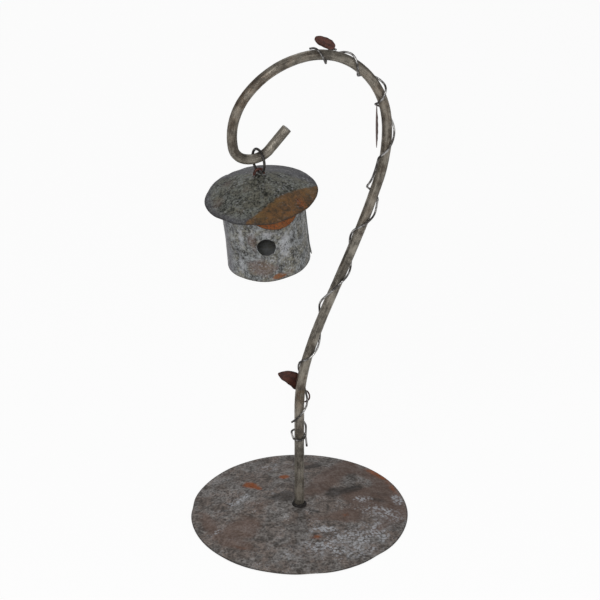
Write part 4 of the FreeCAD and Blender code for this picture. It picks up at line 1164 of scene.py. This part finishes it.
class BIRDHOUSE_OT_stage(bpy.types.Operator):
    """Makes the floor, the even light, four soft lights and the camera"""

    bl_idname = "birdhouse.stage"
    bl_label = "Stage"

    def execute(self, context):
        sizes = context.scene.birdhouse_stage
        context.scene.view_settings.view_transform = "Standard"
        floor = bpy.data.meshes.new("Floor")
        reach = 6.0
        below = -0.2 * MM
        corners = [(-reach, -reach, below), (reach, -reach, below), (reach, reach, below),
                   (-reach, reach, below)]
        floor.from_pydata(corners, [], [(0, 1, 2, 3)])
        floor.materials.append(self.floor_finish())
        plane = bpy.data.objects.new("Floor", floor)
        context.scene.collection.objects.link(plane)
        self.sky(context.scene, sizes.sky)
        self.light(context.scene, "Key", (-1.5, -1.5, 1.6), 1.1, sizes.key_power)
        self.light(context.scene, "Front", (-0.62, -1.85, 1.3), 0.35, sizes.front_power)
        self.light(context.scene, "Fill", (1.7, -1.1, 0.9), 1.2, sizes.fill_power)
        self.light(context.scene, "Back", (0.2, 1.6, 1.7), 1.3, sizes.back_power)
        view = bpy.data.cameras.new("Camera")
        view.lens = sizes.camera_lens
        view.sensor_width = 36.0
        view.clip_end = 50.0
        camera = bpy.data.objects.new("Camera", view)
        camera.location = sizes.camera_place
        camera.rotation_euler = (sizes.camera_tilt, 0.0, sizes.camera_heading)
        context.scene.collection.objects.link(camera)
        context.scene.camera = camera
        return {"FINISHED"}

    def seen_directly(self, shader):
        """1 for rays from the camera and for mirrored and transmitted rays."""
        path = shader.node("ShaderNodeLightPath").outputs
        seen = shader.math("MAXIMUM", path["Is Camera Ray"], path["Is Glossy Ray"])
        return shader.math("MAXIMUM", seen, path["Is Transmission Ray"])

    def floor_finish(self):
        """White where it is seen, with a soft shadow from its matt share."""
        material, shader = new_finish("Floor white")
        matt = shader.node("ShaderNodeBsdfDiffuse", {"Color": (0.8, 0.8, 0.8)})
        white = shader.node("ShaderNodeEmission", {"Color": (1.0, 1.0, 1.0), "Strength": 1.1})
        share = shader.math("MULTIPLY", self.seen_directly(shader), 0.8)
        mixed = shader.node("ShaderNodeMixShader", {0: share, 1: matt.outputs[0], 2: white.outputs[0]})
        shader.node("ShaderNodeOutputMaterial", {"Surface": mixed.outputs[0]})
        return material

    def sky(self, scene, strength):
        world = bpy.data.worlds.new("Studio")
        world.use_nodes = True
        world.node_tree.nodes.clear()
        shader = Shader(world.node_tree)
        path = shader.node("ShaderNodeLightPath").outputs
        bright = shader.ramp(path["Is Camera Ray"], 0.0, 1.0, strength, 1.0)
        light = shader.node("ShaderNodeBackground", {"Color": (1.0, 1.0, 1.0), "Strength": bright})
        shader.node("ShaderNodeOutputWorld", {"Surface": light.outputs[0]})
        scene.world = world

    def light(self, scene, name, place, width, power):
        """A square soft light that faces the middle of the object."""
        lamp = bpy.data.lights.new(name, "AREA")
        lamp.size = width
        lamp.energy = power
        item = bpy.data.objects.new(name, lamp)
        item.location = place
        aim = Vector((0.0, 0.0, 0.2)) - item.location
        item.rotation_euler = aim.to_track_quat("-Z", "Y").to_euler()
        scene.collection.objects.link(item)


class BIRDHOUSE_OT_shared_shaders(bpy.types.Operator):
    """Builds the effects that several finishes share"""

    bl_idname = "birdhouse.shared_shaders"
    bl_label = "Shared shaders"

    def execute(self, context):
        build_mottle()
        build_ragged()
        build_specks()
        build_rust()
        return {"FINISHED"}


class BIRDHOUSE_OT_disc(bpy.types.Operator):
    """Makes the domed disc and the two welds that hold the bar in it"""

    bl_idname = "birdhouse.disc"
    bl_label = "Disc and welds"

    def execute(self, context):
        sizes = context.scene.birdhouse_stand
        tints = context.scene.birdhouse_tints
        points, faces, fields = disc_surface(sizes)
        add_piece("disc", points, faces, disc_tin(tints), "stand", ("base_disc",), fields)
        iron = weld_iron(tints)
        inner = sizes.bar_radius - 0.2 * MM
        above = sizes.disc_top - 0.1 * MM
        points, faces = bead_surface(inner, sizes.weld_radius, sizes.weld_height, 81, above)
        add_piece("upper_weld", points, faces, iron, "stand", ("foot_weld",))
        under = sizes.disc_top - sizes.disc_sheet + 0.1 * MM
        points, faces = bead_surface(inner, sizes.weld_radius, -2.4 * MM, 85, under)
        add_piece("lower_weld", points, faces, iron, "stand", ("under_weld",))
        return {"FINISHED"}


class BIRDHOUSE_OT_crook(bpy.types.Operator):
    """Makes the bent bar"""

    bl_idname = "birdhouse.crook"
    bl_label = "Crook"

    def execute(self, context):
        sizes = context.scene.birdhouse_stand
        points, faces, fields = bar_surface(sizes)
        steel = bar_steel(context.scene.birdhouse_tints)
        add_piece("crook_bar", points, faces, steel, "stand", ("crook_rod",), fields)
        return {"FINISHED"}


class BIRDHOUSE_OT_wires(bpy.types.Operator):
    """Finishes the vine, its ties, the leaf's stem, the ring and the eye"""

    bl_idname = "birdhouse.wires"
    bl_label = "Wires"

    def execute(self, context):
        tints = context.scene.birdhouse_tints
        vine = vine_wire(tints)
        for node in ("vine_wire", "top_tie_wire", "lower_tie_wire"):
            finish_node(node, vine)
        finish_node("low_leaf_stem", iron_wire("Stem wire", tints.leaf_dark, tints.leaf_light, 200.0, 0.45))
        finish_node("hanger_ring", iron_wire("Ring wire", tints.black, tints.wire_dark, 240.0, 0.32))
        finish_node("roof_eye", iron_wire("Eye wire", tints.leaf_dark, tints.staple, 260.0, 0.45))
        return {"FINISHED"}


class BIRDHOUSE_OT_leaves(bpy.types.Operator):
    """Makes the three tin leaves"""

    bl_idname = "birdhouse.leaves"
    bl_label = "Leaves"

    def execute(self, context):
        sizes = context.scene.birdhouse_stand
        tin = leaf_tin(context.scene.birdhouse_tints)
        for node, shape in LEAVES.items():
            points, faces, fields = leaf_surface(*shape, sizes.leaf_sheet)
            add_piece("tin_" + node, points, faces, tin, "stand", (node,), fields)
        return {"FINISHED"}


class BIRDHOUSE_OT_roof(bpy.types.Operator):
    """Makes the cone roof and the rusted sheet under its brim"""

    bl_idname = "birdhouse.roof"
    bl_label = "Roof"

    def execute(self, context):
        sizes = context.scene.birdhouse_house
        tints = context.scene.birdhouse_tints
        inside = Vector(hung(np.array([0.0, 0.0, -60.0 * MM]), sizes))
        points, faces, fields = roof_surface(sizes)
        roof = add_piece("roof", points, faces, roof_tin(tints), "birdhouse", ("roof_cone",),
                         fields, inside)
        thicken(roof, sizes.tin, 0.12 * MM)
        points, faces, fields = lip_surface(sizes)
        lip = add_piece("brim_lip", points, faces, lip_tin(tints), "birdhouse",
                        ("brim_under_sheet",), fields, inside)
        thicken(lip, sizes.tin, 0.12 * MM)
        return {"FINISHED"}


class BIRDHOUSE_OT_wall(bpy.types.Operator):
    """Makes the rolled wall with its entrance hole and finishes the floor"""

    bl_idname = "birdhouse.wall"
    bl_label = "Wall"

    def execute(self, context):
        sizes = context.scene.birdhouse_house
        tints = context.scene.birdhouse_tints
        points, faces, fields = wall_surface(sizes)
        inside = Vector(hung(np.array([0.0, 0.0, -sizes.wall_drop / 2.0]), sizes))
        wall = add_piece("wall", points, faces, wall_tin(tints), "birdhouse", ("wall_shell",),
                         fields, inside)
        thicken(wall, sizes.tin, 0.12 * MM)
        within = inner_tin(tints)
        wall.data.materials.append(within)
        wall.modifiers["Thickness"].material_offset = 1
        finish_node("floor_pan", within)
        return {"FINISHED"}


class BIRDHOUSE_OT_solder(bpy.types.Operator):
    """Makes the solder round the eye and down the seam, and finishes the inner solder"""

    bl_idname = "birdhouse.solder"
    bl_label = "Solder"

    def execute(self, context):
        sizes = context.scene.birdhouse_house
        solder = solder_metal(context.scene.birdhouse_tints)
        blobs = []
        for side, seed in ((-1.0, 91), (1.0, 95)):
            x = sizes.eye_across + side * sizes.eye_radius
            blobs.append(blob_surface(x, sizes.eye_back, 2.2 * MM, 1.5 * MM, seed, sizes))
        points, faces = join_parts(*blobs)
        add_piece("eye_beads", points, faces, solder, "birdhouse", ("eye_solder",))
        points, faces = seam_bead(sizes)
        add_piece("seam_bead", points, faces, solder, "birdhouse", ("seam_solder",))
        for node in ("floor_solder", "roof_solder"):
            finish_node(node, solder)
        return {"FINISHED"}


STEPS = (
    BIRDHOUSE_OT_stage, BIRDHOUSE_OT_shared_shaders, BIRDHOUSE_OT_disc, BIRDHOUSE_OT_crook,
    BIRDHOUSE_OT_wires, BIRDHOUSE_OT_leaves, BIRDHOUSE_OT_roof, BIRDHOUSE_OT_wall, BIRDHOUSE_OT_solder,
)


class BIRDHOUSE_PT_panel(bpy.types.Panel):
    """Lists the pieces and the sizes and colours that they are made with"""

    bl_idname = "BIRDHOUSE_PT_panel"
    bl_label = "Birdhouse"
    bl_space_type = "VIEW_3D"
    bl_region_type = "UI"
    bl_category = "Birdhouse"

    def draw(self, context):
        for step in STEPS:
            self.layout.operator(step.bl_idname)
        for group in SETTINGS:
            box = self.layout.box()
            values = getattr(context.scene, group)
            for key in values.__annotations__:
                box.prop(values, key)


SETTINGS = {
    "birdhouse_stage": StageSizes,
    "birdhouse_stand": StandSizes,
    "birdhouse_house": HouseSizes,
    "birdhouse_tints": TinColours,
}


def register():
    for group, kind in SETTINGS.items():
        bpy.utils.register_class(kind)
        setattr(bpy.types.Scene, group, PointerProperty(type=kind))
    for step in STEPS:
        bpy.utils.register_class(step)
    bpy.utils.register_class(BIRDHOUSE_PT_panel)


def unregister():
    bpy.utils.unregister_class(BIRDHOUSE_PT_panel)
    for step in reversed(STEPS):
        bpy.utils.unregister_class(step)
    for group, kind in reversed(SETTINGS.items()):
        delattr(bpy.types.Scene, group)
        bpy.utils.unregister_class(kind)


def main():
    register()
    for step in STEPS:
        group, action = step.bl_idname.split(".")
        getattr(getattr(bpy.ops, group), action)()


if __name__ == "__main__":
    main()
